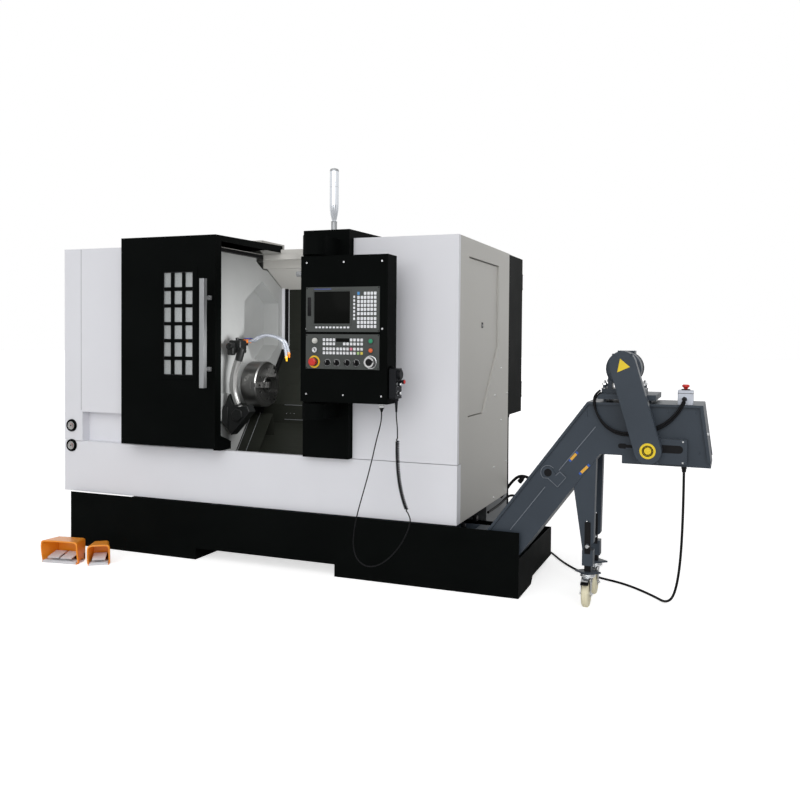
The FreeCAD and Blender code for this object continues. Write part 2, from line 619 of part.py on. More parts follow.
def swept(name, edges, radius, least):
    """Round bar along joined edges."""
    path = Part.Wire(edges)
    start = edges[0].valueAt(edges[0].FirstParameter)
    ring = Part.Wire(Part.Circle(start, edges[0].tangentAt(edges[0].FirstParameter), radius).toShape())
    solid = path.makePipeShell([ring], True, False)
    print("%s length %.0f, least radius %.1f, volume ratio %.4f"
          % (name, path.Length, least, solid.Volume / (math.pi * radius ** 2 * path.Length)))
    return solid


def tube(route, radius):
    edges, least = rounded([Vector(*p) for p in route])
    return swept("tube", edges, radius, least)


def cableGland(at, z):
    """Gland hanging from a sheet at height z, over an end of the power cable."""
    profile = [(0, 0), (-1, 0), (-1, 10), (12, 10), (12, 7), (glandDeep, 7), (glandDeep, 0)]
    return turned(profile, at[0], at[1], z, Vector(0, 0, -1))


def powerCable():
    return tube(cableRoute, cableR)


def curlAxis(share):
    """Point and direction of the curly part's axis at a share of its drop."""
    point = Vector(curlTopX + curlSwing * share ** 3, cordY, curlTopZ - curlDrop * share)
    return point, Vector(3 * curlSwing * share ** 2, 0, -curlDrop).normalize()


def curlPoint(turns):
    """Point on the cord's centre line after so many curls; the first and last open from the axis."""
    opened, closed = min(turns, 1.0), min(curlCount - turns, 1.0)
    stretch = turns - curlStretch * ((1 - opened) ** 2 - (1 - closed) ** 2)
    point, along = curlAxis((stretch + curlStretch) / (curlCount + 2 * curlStretch))
    opening = min(opened, closed)
    radius = curlRadius * (3 * opening ** 2 - 2 * opening ** 3)
    side = along.cross(Vector(0, 1, 0))
    angle = 2 * math.pi * turns
    return point + side * (radius * math.cos(angle)) + Vector(0, radius * math.sin(angle), 0)


def handCordCurl():
    """Straight lead and curls in one unbroken tube, ending straight where the tail begins."""
    count = curlCount * curlPoints
    points = [curlPoint(i / curlPoints) for i in range(count + 1)]
    step = 1e-4
    slopes = [(curlPoint(i / curlPoints + step) - curlPoint(i / curlPoints - step)).normalize()
              for i in range(1, count)]
    slopes = [curlAxis(0)[1]] + slopes + [curlAxis(1)[1]]
    lead = [Vector(x, cordY, z) for x, z in leadRoute] + [points[0]]
    edges, least = rounded(lead)
    for start, out, end, onward in zip(points, slopes, points[1:], slopes[1:]):
        across, both = end - start, out + onward
        fall = 2 * (1 - out.dot(onward))
        lean = across.dot(both)
        reach = (math.sqrt(lean ** 2 + fall * across.dot(across)) - lean) / fall
        near, far = start + out * reach, end - onward * reach
        middle = (near + far) * 0.5
        for first, corner, last in ((start, near, middle), (middle, far, end)):
            arc, radius = bend(first, corner, last)
            edges.append(arc)
            least = min(least, radius)
    edges.append(Part.LineSegment(points[-1], points[-1] + slopes[-1] * 2 * cordR).toShape())
    fine = [curlPoint(i / 24) for i in range(24 * curlCount + 1)]
    apart = min((a - b).Length for i, a in enumerate(fine) for b in fine[i + 14:i + 60])
    print("curls %d, least gap to itself %.2f" % (curlCount, apart - 2 * cordR))
    return swept("lead and curls", edges, cordR, least)


def handCord():
    """Thin tail, from the end of the curls up to the gland under the pendant."""
    start, along = curlAxis(1)
    begin = start + along * 2 * cordR
    route = [begin, begin + along * 16] + [Vector(x, cordY, z) for x, z in tailRoute]
    edges, least = rounded(route)
    return swept("tail", edges, cordR, least)


# ---- spindle, chuck and jaws ------------------------------------------------------------

def spindle():
    x0 = headstockX0 - 60
    profile = [(x0, throughR), (x0, 58), (headstockX0 - 45, 58), (headstockX0 - 45, 105), (headstockX0 - 10, 105),
               (headstockX0 - 10, 62), (headstockX0 + 20, 62), (headstockX0 + 20, rearBearingR),
               (headstockX0 + 90, rearBearingR), (headstockX0 + 90, 66), (headstockX1 - 130, 66),
               (headstockX1 - 130, frontBearingR), (headstockX1 + 2, frontBearingR), (headstockX1 + 2, 88),
               (chuckX0 - 30, 88), (chuckX0 - 30, noseR), (chuckX0, noseR), (chuckX0, throughR)]
    return turned([(x, r) for x, r in profile], 0, spindleY, spindleZ, Vector(1, 0, 0))


def chuckBody():
    body = turned([(chuckX0, throughR + 2), (chuckX0, chuckR - 4), (chuckX0 + 4, chuckR), (chuckX1 - 6, chuckR),
                   (chuckX1, chuckR - 6), (chuckX1, throughR + 2)], 0, spindleY, spindleZ, Vector(1, 0, 0))
    tools = []
    for angle in jawAngles:
        neck = box(chuckX1 - 16, chuckX1 + 1, 0, chuckR + 1, -jawWidth / 2 + 4 - gap, jawWidth / 2 - 4 + gap)
        foot = box(chuckX1 - 32 - gap, chuckX1 - 16, 0, chuckR + 1, -jawWidth / 2 - 4 - gap, jawWidth / 2 + 4 + gap)
        tools += [aroundSpindle(shape, angle) for shape in (neck, foot)]
        for offset in (-30, 30):
            hole = rodX(chuckX1 - 12, chuckX1 + 1, 92, 0, 8)
            tools.append(aroundSpindle(hole, angle + offset))
    return cut(body, *tools)


def aroundSpindle(shape, angle):
    """Turn a shape drawn about the x axis, reaching along +y, to its place on the spindle."""
    piece = shape.copy()
    piece.rotate(Vector(0, 0, 0), Vector(1, 0, 0), angle)
    piece.translate(Vector(0, spindleY, spindleZ))
    return piece


def chuckJaw(angle):
    half = jawWidth / 2
    foot = box(chuckX1 - 32, chuckX1 - 16 - gap, jawInnerR, jawOuterR, -half - 4, half + 4)
    neck = box(chuckX1 - 17, chuckX1 + gap, jawInnerR, jawOuterR, -half + 4, half - 4)
    steps = prismZ([(chuckX1 + gap, jawInnerR - 14), (chuckX1 + jawRise, jawInnerR - 14), (chuckX1 + jawRise, 66),
                    (chuckX1 + jawRise - 18, 66), (chuckX1 + jawRise - 18, 94), (chuckX1 + jawRise - 34, 94),
                    (chuckX1 + jawRise - 34, jawOuterR - 8), (chuckX1 + gap, jawOuterR - 8)], -half, half)
    bolts = [rodX(chuckX1 + 8, chuckX1 + jawRise + 1, y, 0, 7.5) for y in (80, 112)]
    return aroundSpindle(cut(join(foot, neck, steps), *bolts), angle)


# ---- bed, headstock and motor -------------------------------------------------------------

def machineBed():
    y0, z0 = upSlope(wayLow, bedDist)
    y1, z1 = upSlope(wayHigh - 30, bedDist)
    rear = sideRearY - sheet - 5
    outline = [(y0, z0), (y1, z1), (rear, z1), (rear, bedShoulderZ), (300, bedShoulderZ), (520, 560), (520, 30), (45, 30), (45, 330),
               (y0, 330)]
    body = prismX(outline, bedX0, bedX1)
    pockets = [box(x, x + 500, 496, 521, 90, 430) for x in (bedX0 + 90, bedX0 + 650, bedX0 + 1210, bedX0 + 1770)]
    clear = box(bedX0 - 1, bedX1 + 1, 300, 521, 480, 521 + 260)
    pads = [rodZ(x, y, 0, 30, 45) for x in (bedX0 + 90, 0, bedX1 - 90) for y in (100, 465)]
    rails = [guideRail(headstockX1 + 10, bedX1, t) for t in railT]
    tailRail = box(tailX0 - tailTravel - 20, bedX1, y0 - 18, y0, 700, 745)
    return join(cut(body, *pockets, clear), *pads, *rails, tailRail)


def guideRail(x0, x1, t):
    return slab(x0, x1, t - railWide / 2, t + railWide / 2, bedDist - railTall, bedDist)


def headstock():
    low, high = upSlope(wayLow, bedDist), upSlope(wayHigh - 50, bedDist)
    outline = [low, high, (120, 1195), (-330, 1195), (-430, 1105), (-430, 850), (-330, 765), (-60, 765)]
    body = prismX(outline, headstockX0, headstockX1)
    fins = [box(x, x + 20, -445, -425, 870, 1090) for x in range(int(headstockX0) + 60, int(headstockX1) - 60, 60)]
    bore = rodX(headstockX0 - 1, headstockX1 + 1, spindleY, spindleZ, rearBearingR + 0.05)
    cavity = rodX(headstockX0 + 95, headstockX1 - 135, spindleY, spindleZ, 120)
    front = rodX(headstockX1 - 136, headstockX1 + 1, spindleY, spindleZ, frontBearingR + 0.05)
    collar = rodX(headstockX1, wallX - wallSheet - gap, spindleY, spindleZ, 135)
    clear = rodX(headstockX1 + 1, wallX, spindleY, spindleZ, 92)
    return cut(join(body, collar, *fins), bore, cavity, front, clear)


def spindleMotor():
    """Drive motor on a shelf of the bed, under the headstock, with its pulley."""
    x0, y, z, r = headstockX0 + 30, -330.0, 560.0, 95.0
    body = turned([(x0, 0), (x0, r), (x0 + 360, r), (x0 + 360, r - 12), (x0 + 420, r - 12), (x0 + 420, 0)],
                  0, y, z, Vector(1, 0, 0))
    flange = box(x0 - 18, x0, y - r - 10, y + r + 10, z - r - 10, z + r + 10)
    shaft = rodX(x0 - 40, x0 - 18, y, z, 24)
    pulley = rodX(headstockX0 - 45, headstockX0 - 10, y, z, 62)
    front = upSlope(wayLow, bedDist)[0] - gap
    feet = [box(x, x + 50, y - 75, y + 75, 410, z - 60) for x in (x0 + 50, x0 + 270)]
    shelf = box(x0, x0 + 420, y - 110, front, 400, 412)
    upright = box(x0, x0 + 420, front - 12, front, 400, 700)
    gussets = [prismX([(front - 1, 640), (front - 1, 411), (y + 120, 411)], x, x + 12) for x in (x0 + 6, x0 + 402)]
    connector = box(x0 + 130, x0 + 250, y - 50, y + 50, z + r - 20, z + r + 40)
    return join(body, flange, shaft, pulley, connector, shelf, upright, *feet, *gussets)


# ---- walls round the work area ---------------------------------------------------------------

def spindleWall():
    top = cabinetTopZ - sheet - 3
    cover = coverDist - 1.0
    outline = [(frontY + fold + 8, 560), (frontY + fold + 8, top - 4), (-78, top - 4), (-78, troughZ + 38), (-1, troughZ - 7),
               (51, troughZ - 7), (backWallY - 1, ceilingLowZ - 3), upSlope(wayHigh + 10, cover), upSlope(wayLow, cover),
               (lipY - 2, lipZ0 + 20), (lipY - 6, lipZ0), (chuteY1, chuteZ1 + 6), (chuteY1 - 60, 560)]
    plate = prismX(outline, wallX - wallSheet, wallX)
    house = [(-212, 1503), (-11, 1640), (192, 1505), (192, 1222), (30, 1098), (-129, 1145), (-212, 1274)]
    rim = [(-220, 1508), (-11, 1650), (200, 1509), (200, 1218), (32, 1088), (-133, 1136), (-220, 1270)]
    pocket = prismX(rim, wallX - pocketDepth, wallX)
    hollow = prismX(house, wallX - pocketDepth + wallSheet, wallX + 1)
    ring = turned([(wallX - 2, 108), (wallX - 2, 124), (chuckX0 - 16, 124), (chuckX0 - 10, 118), (chuckX0 - 10, 108)],
                  0, spindleY, spindleZ, Vector(1, 0, 0))
    bore = rodX(wallX - wallSheet - 1, wallX + 9, spindleY, spindleZ, 108)
    bracket = box(wallX, wallX + 8, -478, -215, 770, 935)
    hub = rodX(wallX, setterX - 30, setterY, setterZ, 30)
    pin = rodX(setterX - 30, setterX + 22, setterY, setterZ, 10)
    return join(cut(join(plate, pocket, bracket), hollow, bore), ring, hub, pin)


def setterArm():
    """Swinging probe arm: hub, bowed tube and the probe cluster."""
    hub = cut(rodX(setterX - 30 + gap, setterX + 20, setterY, setterZ, 40),
              rodX(setterX - 31, setterX + 21, setterY, setterZ, 10.05))
    x = setterX
    route = [(x, setterY - 4, setterZ + 34), (x, setterY - 18, setterZ + 78), (x, setterY - 38, setterZ + 130),
             (x, setterY - 44, setterZ + 190), (x, setterY - 30, setterZ + 262), (x, setterY - 8, setterZ + 330)]
    bow = tube(route, 15)
    sleeve = rod(Vector(0, 0.30, 0.954), x, setterY - 10, setterZ + 322, 19, 66)
    head = box(x - 30, x + 34, setterY - 66, setterY + 30, setterZ + 372, setterZ + 440)
    stylus = rod(Vector(0, -1, 0), x + 4, setterY - 60, setterZ + 402, 22, 36)
    return join(hub, bow, sleeve, head, stylus)


# dark sheets behind and below the work: back wall, way covers, step and chute
def backWall():
    x0, x1 = wallX + gap, innerRightX
    cover = coverDist
    frontIn = frontY + fold + 4
    ceiling = cabinetTopZ - sheet - 3
    upper = box(x0, x1, backWallY, backWallY + 3, upSlope(wayHigh, cover)[1] - 12, ceilingLowZ)
    lip = box(x0, x1, lipY, lipY + 3, lipZ0, upSlope(wayLow, cover)[1] + 4)
    slotCut = box(tailX0 - tailTravel - 25, x1 + 1, lipY - 1, lipY + 4, lipZ0 + 12, lipZ0 + 78)
    fall = (lipZ0 - chuteZ1) / (lipY - chuteY1)
    chuteEndY = conveyorY1 - 20
    chuteEndZ = lipZ0 - fall * (lipY - chuteEndY)
    chute = prismX([(lipY, lipZ0), (lipY, lipZ0 + 3), (chuteEndY, chuteEndZ + 3), (chuteEndY, chuteEndZ)], x0, x1)
    apronChute = prismX([(frontIn, sillZ - 30), (frontIn + 3, sillZ - 30), (frontIn + 63, 440), (frontIn + 60, 440)],
                        x0, x1)
    left = slab(x0, carriageX0 - carriageTravel - 10, wayLow, wayHigh, cover, cover + 2)
    right = slab(carriageX1 + 10, x1, wayLow, wayHigh, cover, cover + 2)
    guard = prismX([(-139, 790), (-136, 792), (-305, 560), (-308, 560)], x0, -148)
    stiffener = prismX([(-139, 790), (-136, 792), (-120, lipZ0 - 60), (-123, lipZ0 - 66)], x0, -148)
    cleats = [box(x, x + 40, lipY + 2, upSlope(wayLow, bedDist)[0] - gap, 765, 790) for x in (-220.0, 240.0, 700.0)]
    end = prismX([(lipY + 3, lipZ0), upSlope(wayLow, cover + 2), upSlope(wayHigh, cover + 2), (backWallY + 3, ceilingLowZ - 3),
                  (51, troughZ - 7), (-1, troughZ - 7), (-78, troughZ + 38), (-78, ceiling), (frontIn, ceiling), (frontIn, sillZ - 30),
                  (frontIn + 60, 440), (chuteEndY, chuteEndZ)], x1, x1 + 3)
    return join(cut(join(upper, lip), slotCut), chute, apronChute, left, right, guard, stiffener, end, *cleats)


# ---- carriage, turret and tailstock -------------------------------------------------------------

def carriage():
    low, high = railT[0] - 40, railT[1] + 40
    near, far = coverDist - 30, bedDist - gap
    saddle = slab(carriageX0, carriageX1, low, high, near, far)
    grooves = [slab(carriageX0 - 1, carriageX1 + 1, t - railWide / 2 - gap, t + railWide / 2 + gap,
                    bedDist - railTall - gap, bedDist) for t in railT]
    relief = slab(carriageX0 - 1, carriageX1 + 1, railT[0] + 50, railT[1] - 50, bedDist - railTall, bedDist)
    reach = carriageTravel + 20
    cover = slab(carriageX0 - reach, carriageX1 + reach - 10, wayLow + 8, wayHigh - 6, coverDist + 3, coverDist + 5)
    crossRails = [slab(x, x + 36, low + 10, high - 10, near - 16, near)
                  for x in (carriageX0 + 40, carriageX1 - 76)]
    return join(cut(join(saddle, cover), *grooves, relief), *crossRails)


def crossSlide():
    """Cross slide with the turret's housing, sliding down the slope to the work."""
    rail = coverDist - 46
    low = turretT - 120
    high = railT[1] + 30
    plate = slab(carriageX0 + 20, carriageX1 - 20, low, high, rail - 34, coverDist - 31)
    grooves = [slab(x - gap, x + 36 + gap, low - 1, high + 1, rail - gap, coverDist - 30)
               for x in (carriageX0 + 40, carriageX1 - 76)]
    housing = slab(carriageX0 + 60, carriageX1 - 60, turretT - 95, turretT + 95, -90, rail - 34)
    y, z = upSlope(turretT, 0)
    motor = rodX(carriageX1 - 60, carriageX1 + 60, y, z, 62)
    spigot = rodX(carriageX0 + 30, carriageX0 + 60, y, z, 40)
    return join(cut(plate, *grooves), housing, motor, spigot)


def turretDisc():
    y, z = upSlope(turretT, 0)
    x0, x1 = carriageX0 - 40, carriageX0 + 60 - gap
    corners = []
    for i in range(turretStations):
        angle = math.radians(360.0 * (i + 0.5) / turretStations)
        corners.append((y + turretR * math.cos(angle), z + turretR * math.sin(angle)))
    disc = prismX(corners, x0, x1)
    holders, pockets = [], []
    for i in range(turretStations):
        angle = 360.0 * i / turretStations
        holder = box(x0 + 20, x1 - 20, turretR * 0.9, turretR + 22, -18, 18)
        shank = box(x0 - 24, x0 + 24, turretR * 0.98, turretR + 20, -10, 10)
        for shape in (holder, shank):
            shape.rotate(Vector(0, 0, 0), Vector(1, 0, 0), angle)
            shape.translate(Vector(0, y, z))
            holders.append(shape)
    hub = rodX(x0 - 12, x0, y, z, 62)
    bore = rodX(carriageX0 + 30 - gap, carriageX0 + 61, y, z, 40.05)
    return cut(join(disc, hub, *holders), bore)


def tailstock():
    y0 = upSlope(wayLow, bedDist)[0]
    body = rodX(tailX0, tailX1, spindleY, spindleZ, 78)
    neck = prismX([(spindleY - 55, spindleZ - 50), (spindleY + 78, spindleZ), (spindleY + 130, 835), (lipY - 20, 800),
                   (lipY - 20, 735), (spindleY + 60, 735), (spindleY - 55, 860)], tailX0 + 5, tailX1 - 5)
    arm = box(tailX0 + 5, tailX1 - 5, lipY - 30, y0 - 18 - gap, lipZ0 + 20, lipZ0 + 70)
    clamp = box(tailX0 + 5, tailX1 - 5, y0 - 18 - gap - 8, y0 - gap, 745 + gap, 745 + 38)
    bore = rodX(tailX0 - 1, tailX1 + 1, spindleY, spindleZ, quillR + 0.05)
    return cut(join(body, neck, arm, clamp), bore)


def quill():
    x0 = tailX0
    return turned([(x0 - 70, 0), (x0 - 34, 21), (x0 - 34, 26), (x0 - 24, quillR), (x0 + 140, quillR),
                   (x0 + 140, 0)], 0, spindleY, spindleZ, Vector(1, 0, 0))


# ---- coolant lines --------------------------------------------------------------------------------

valveY, valveZ = -270.0, 1250.0
hoseX, hoseR = -226.0, 8.0


def coolantLines():
    """Manifold on the wall with two valves, two jointed hoses and their nozzles."""
    hoses, valves = [], []
    for side, far in ((-1, 0.0), (1, 26.0)):
        y = valveY + side * 16
        valves.append(rodX(wallX + 46, hoseX, y, valveZ, 10))
        valves.append(box(wallX + 58, wallX + 82, y - 5, y + 5, valveZ + 9, valveZ + 15))
        route = [(hoseX, y, valveZ), (hoseX + 18, y, valveZ), (hoseX + 46, y + 10, valveZ + 22),
                 (hoseX + 88, y + 22, valveZ + 38), (hoseX + 130, y + 36, valveZ + 36),
                 (hoseX + 168 + far, y + 50, valveZ + 12), (hoseX + 188 + far, y + 58, valveZ - 30),
                 (hoseX + 194 + far, y + 61, valveZ - 70)]
        hoses.append(tube(route, hoseR))
        end, before = Vector(*route[-1]), Vector(*route[-2])
        along = (end - before).normalize()
        hoses.append(rod(along, end.x, end.y, end.z, hoseR + 1, 30))
    return Part.makeCompound([join(box(wallX, wallX + 48, -300, -240, valveZ - 28, valveZ + 12), *valves), *hoses])


# ---- tank -----------------------------------------------------------------------------------------------

def coolantTank():
    p = tankPlate
    front, rear = tankFrontY, tankRearY
    step = footRearY + undersideZ
    outside = [(front, tankFrontZ), (front, 0), (footRearY, 0), (step, undersideZ), (rear, undersideZ),
               (rear, tankRearZ)]
    inside = [(rear - p, tankRearZ), (rear - p, undersideZ + p), (step - 2, undersideZ + p), (footRearY - 2, p),
              (front + p, p), (front + p, tankFrontZ)]
    pan = prismX(outside + inside, tankX0, tankX1)
    endOutline = [(front, tankRearZ), (front, 0), (footRearY, 0), (step, undersideZ), (rear, undersideZ),
                  (rear, tankRearZ)]
    ends = [prismX(endOutline, x, x + p) for x in (tankX0, tankX1 - p)]
    notch = box(notchX0, notchX1, front - 1, step + 1, -1, notchZ)
    bridge = prismX([(front, notchZ), (front, notchZ + p), (step, notchZ + p), (step, undersideZ),
                     (step - p, undersideZ), (step - p, notchZ)], notchX0 - p, notchX1 + p)
    cheeks = [prismX([(front + p, 0), (footRearY, 0), (step, undersideZ), (step, notchZ), (front + p, notchZ)], x, x + p)
              for x in (notchX0 - p, notchX1)]
    return join(cut(join(pan, *ends), notch), bridge, *cheeks)


# ---- chip conveyor ------------------------------------------------------------------------------------------

def inclinePoint(along, below):
    """Point (x, z) along the incline's top flange and square below it."""
    return (inclineLowX + along * inclineDir[0] + below * inclineDir[1],
            inclineLowZ + along * inclineDir[1] - below * inclineDir[0])


def conveyorOutline(inset):
    """Side view of the trough: flat run in the tank, incline, knee and head."""
    length = math.hypot(kneeX - inclineLowX, kneeZ - inclineLowZ)
    rise = math.radians(conveyorSlope)
    runTop, runLow = conveyorFloorZ + troughDepth - inset, conveyorFloorZ + inset
    topEdge, lowEdge = inclinePoint(0, inset), inclinePoint(0, troughDepth - inset)
    along = length - inset * math.tan(rise / 2)
    under = headStepZ + inset
    return [(conveyorX0 + inset, runTop), (topEdge[0] - (topEdge[1] - runTop) / math.tan(rise), runTop),
            (inclinePoint(along, inset)[0], kneeZ - inset), (headRightX - inset, kneeZ - inset),
            (headLipX - 1.4 * inset, headBottomZ + inset), (headStepX + inset, headBottomZ + inset),
            (headStepX + inset, under), (lowEdge[0] + (under - lowEdge[1]) / math.tan(rise), under),
            (lowEdge[0] - (lowEdge[1] - runLow) / math.tan(rise), runLow), (conveyorX0 + inset, runLow)]


def conveyorTrough():
    shell = prismY(conveyorOutline(0), conveyorY0, conveyorY1)
    hollow = prismY(conveyorOutline(conveyorPlate), conveyorY0 + conveyorPlate, conveyorY1 - conveyorPlate)
    mouth = box(conveyorX0 + 40, inclineLowX - 120, conveyorY0 + conveyorPlate, conveyorY1 - conveyorPlate,
                conveyorFloorZ + troughDepth - conveyorPlate - 1, conveyorFloorZ + troughDepth + 1)
    chute = box(headStepX + 90, headLipX - 60, conveyorY0 + 44, conveyorY1 - conveyorPlate,
                headBottomZ - 1, headBottomZ + conveyorPlate + 1)
    body = cut(shell, hollow, mouth, chute)
    skids = [box(x, x + 40, conveyorY0, footRearY - 20, low + gap, conveyorFloorZ)
             for x, low in ((-120.0, notchZ + tankPlate), (700.0, tankPlate), (1300.0, tankPlate))]
    extras = []
    length = math.hypot(kneeX - inclineLowX, kneeZ - inclineLowZ)
    for y0, y1 in ((conveyorY0 - flangeProud, conveyorY0), (conveyorY1, conveyorY1 + flangeProud)):
        top = [inclinePoint(-20, 0), inclinePoint(length, 0), (headRightX, kneeZ), (headLipX, headBottomZ + 25),
               (headLipX - 14, headBottomZ + 25), (headRightX - 13, kneeZ - 12), (kneeX + 8, kneeZ - 12),
               inclinePoint(length - 8, 12), inclinePoint(-20, 12)]
        extras.append(prismY(top, y0, y1))
    lugX = kneeX - 186
    lugZ = inclineLowZ + (lugX - inclineLowX) * inclineDir[1] / inclineDir[0] - 98
    lug = join(rodY(lugX, conveyorY0 - 5, conveyorY0, lugZ, 27),
               prismY([(lugX + x, lugZ + z) for x, z in lugOutline], conveyorY0 - 5, conveyorY0))
    x0, x1 = guardLowX - 69, guardLowX + 167
    tensioner = box(x0, x1, conveyorY0 - 32, conveyorY0 - 26, guardLowZ - 64, guardLowZ + 50)
    legsOf = [box(x0, x1, conveyorY0 - 27, conveyorY0, z, z + 6) for z in (guardLowZ - 64, guardLowZ + 44)]
    tensionSlot = slot(guardLowX + 91, conveyorY0 - 33, conveyorY0 - 25, guardLowZ + 5, 118, 26)
    plateSlot = slot(guardLowX - 99, conveyorY0 - 1, conveyorY0 + conveyorPlate + 1, guardLowZ + 5, 92, 14)
    bracket = cut(join(tensioner, *legsOf), tensionSlot)
    plate = box(kneeX + 50, kneeX + 317, conveyorY0 - 20, conveyorY1, motorPlateZ - 25, motorPlateZ)
    pedestal = [box(x, x + 12, conveyorY0 + 20, conveyorY1 - 20, kneeZ - 1, motorPlateZ - 24)
                for x in (kneeX + 72, kneeX + 282)]
    trough = join(cut(body, plateSlot), *extras, *skids, lug, bracket, plate, *pedestal,
                  cableGland(cableStart, headBottomZ))
    return Part.makeCompound([trough, *conveyorLegs()])


def conveyorGearmotor():
    x, z = guardTopX - 8, guardTopZ - 24
    body = turned([(motorY0, 0), (motorY0, motorR - 10), (motorY0 + 8, motorR), (motorY0 + 70, motorR),
                   (motorY0 + 70, motorR - 18), (motorY1 - 60, motorR - 18), (motorY1 - 60, motorR - 10),
                   (motorY1, motorR - 14), (motorY1, 0)], x, 0, z, Vector(0, 1, 0))
    foot = box(x - 100, x + 100, motorY0 + 6, motorY0 + 150, motorPlateZ, motorPlateZ + 23)
    cheeks = [box(x + s * 62 - 10, x + s * 62 + 10, motorY0 + 10, motorY0 + 66, motorPlateZ + 21, z) for s in (-1, 1)]
    terminal = box(x - 40, x + 40, motorY0 + 100, motorY0 + 175, z + motorR - 30, z + motorR + 2)
    shaft = rodY(guardTopX, guardY0 + 12, motorY0 + 5, guardTopZ, 14)
    bolts = [rodZ(x + s * 88, y, motorPlateZ + 23, motorPlateZ + 41, 9) for s in (-1, 1) for y in (motorY0 + 24, motorY0 + 130)]
    return join(body, foot, *cheeks, terminal, shaft, *bolts)


def chainGuard():
    """Round-ended cover over the drive chain, open towards the conveyor."""
    def round_ended(radius, y0, y1):
        nx, nz = -math.sin(guardRise), math.cos(guardRise)
        ends = [rodY(guardTopX, y0, y1, guardTopZ, radius), rodY(guardLowX, y0, y1, guardLowZ, radius)]
        flat = prismY([(guardTopX + nx * radius, guardTopZ + nz * radius), (guardTopX - nx * radius, guardTopZ - nz * radius),
                       (guardLowX - nx * radius, guardLowZ - nz * radius), (guardLowX + nx * radius, guardLowZ + nz * radius)],
                      y0, y1)
        return join(flat, *ends)
    shell = cut(round_ended(guardR, guardY0, guardY1), round_ended(guardR - sheet, guardY0 + sheet, guardY1 + 1))
    boss = rodY(guardLowX, guardY1 - 12, conveyorY0 - 32, guardLowZ, 18)
    web = box(guardLowX - guardR + 1, guardLowX + guardR - 1, guardY1 - 12, guardY1 - 9, guardLowZ - 14, guardLowZ + 14)
    hole = rodY(guardLowX, guardY0 - 1, guardY0 + sheet + 1, guardLowZ, 20)
    return join(cut(shell, hole), boss, web)


def conveyorLegs():
    """A tapered channel under each side of the trough, with a sliding foot tube."""
    pieces = []
    lowX = inclinePoint(0, troughDepth)
    for y in legYs:
        def under(x):
            return lowX[1] + (x - lowX[0]) * math.tan(math.radians(conveyorSlope))
        left, right = kneeX - 62, kneeX + 44
        shape = prismY([(left, under(left)), (right, under(right)), (legX + 28, legZ + 46), (legX - 24, legZ + 6)],
                       y - 24, y + 24)
        inner = prismY([(left + 8, under(left) + 40), (right - 5, under(right) + 40), (legX + 24, legZ + 40),
                        (legX - 20, legZ - 10)], y - 20, y + 30)
        window = box(legX - 7, legX + 7, y - 25, y - 19, legZ + 50, legZ + 150)
        sleeve = box(legX - 26, legX + 26, y - 26, y + 26, legZ - 66, legZ + 8)
        post = box(legX - 16, legX + 16, y - 16, y + 16, casterTopZ - 4, legZ)
        bolt = rodY(legX, y - 34, y - 19, legZ + 34, 8)
        pad = prismZ([(casterX - 62, y), (casterX, y - 48), (casterX + 62, y), (casterX, y + 48)],
                     casterTopZ - 8, casterTopZ)
        pieces.append(join(cut(shape, inner, window), sleeve, post, bolt, pad))
    return pieces


def casterFork(y):
    """Swivel fork that trails its wheel forward, to the operator's side."""
    top = casterTopZ - 8
    wheelY = y - casterTrail
    race = rodZ(casterX, y, top - 16, top - gap, 26)
    cheeks = []
    for side in (-1, 1):
        x = casterX + side * (wheelWide / 2 + 3.5)
        cheeks.append(prismX([(y + 24, top - 14), (y - 26, top - 14), (wheelY - 14, wheelR), (wheelY - 8, wheelR - 14),
                              (wheelY + 8, wheelR - 14), (wheelY + 14, wheelR)], x - 1.5, x + 1.5))
    crown = box(casterX - wheelWide / 2 - 5, casterX + wheelWide / 2 + 5, y - 26, y + 24, top - 18, top - 14)
    axle = rodX(casterX - wheelWide / 2 - 9, casterX + wheelWide / 2 + 9, wheelY, wheelR, 6)
    brake = box(casterX - 16, casterX + 16, wheelY - 62, y - 26, top - 18, top - 12)
    return join(race, crown, axle, brake, *cheeks)


def casterWheel(y):
    wheelY = y - casterTrail
    half = wheelWide / 2
    return turned([(-half, 6.05), (-half, wheelR - 6), (6 - half, wheelR), (half - 6, wheelR), (half, wheelR - 6),
                   (half, 6.05)], casterX, wheelY, wheelR, Vector(1, 0, 0))


def stopBox():
    z0 = kneeZ
    case = box(stopBoxX0, stopBoxX1, conveyorY0 + 6, conveyorY0 + 74, z0, z0 + stopBoxHeight)
    case = case.makeFillet(5.0, [e for e in case.Edges if abs(e.tangentAt(e.FirstParameter).z) > 0.9])
    middle = (stopBoxX0 + stopBoxX1) / 2
    well = rodZ(middle, conveyorY0 + 40, z0 + stopBoxHeight - 30, z0 + stopBoxHeight + 1, 8 + gap)
    gland = rodY(middle - 3, conveyorY0 - 8, conveyorY0 + 7, z0 + 26, 10)
    return join(cut(case, well), gland)


def conveyorStopButton():
    top = kneeZ + stopBoxHeight
    middle = (stopBoxX0 + stopBoxX1) / 2
    return turned([(-20, 0), (-20, 8), (7, 8), (12, 12), (16, 17), (22, 17), (26, 13), (26, 0)],
                  middle, conveyorY0 + 40, top, Vector(0, 0, 1))


# ---- electrical cabinet and tower light ----------------------------------------------------------------------------

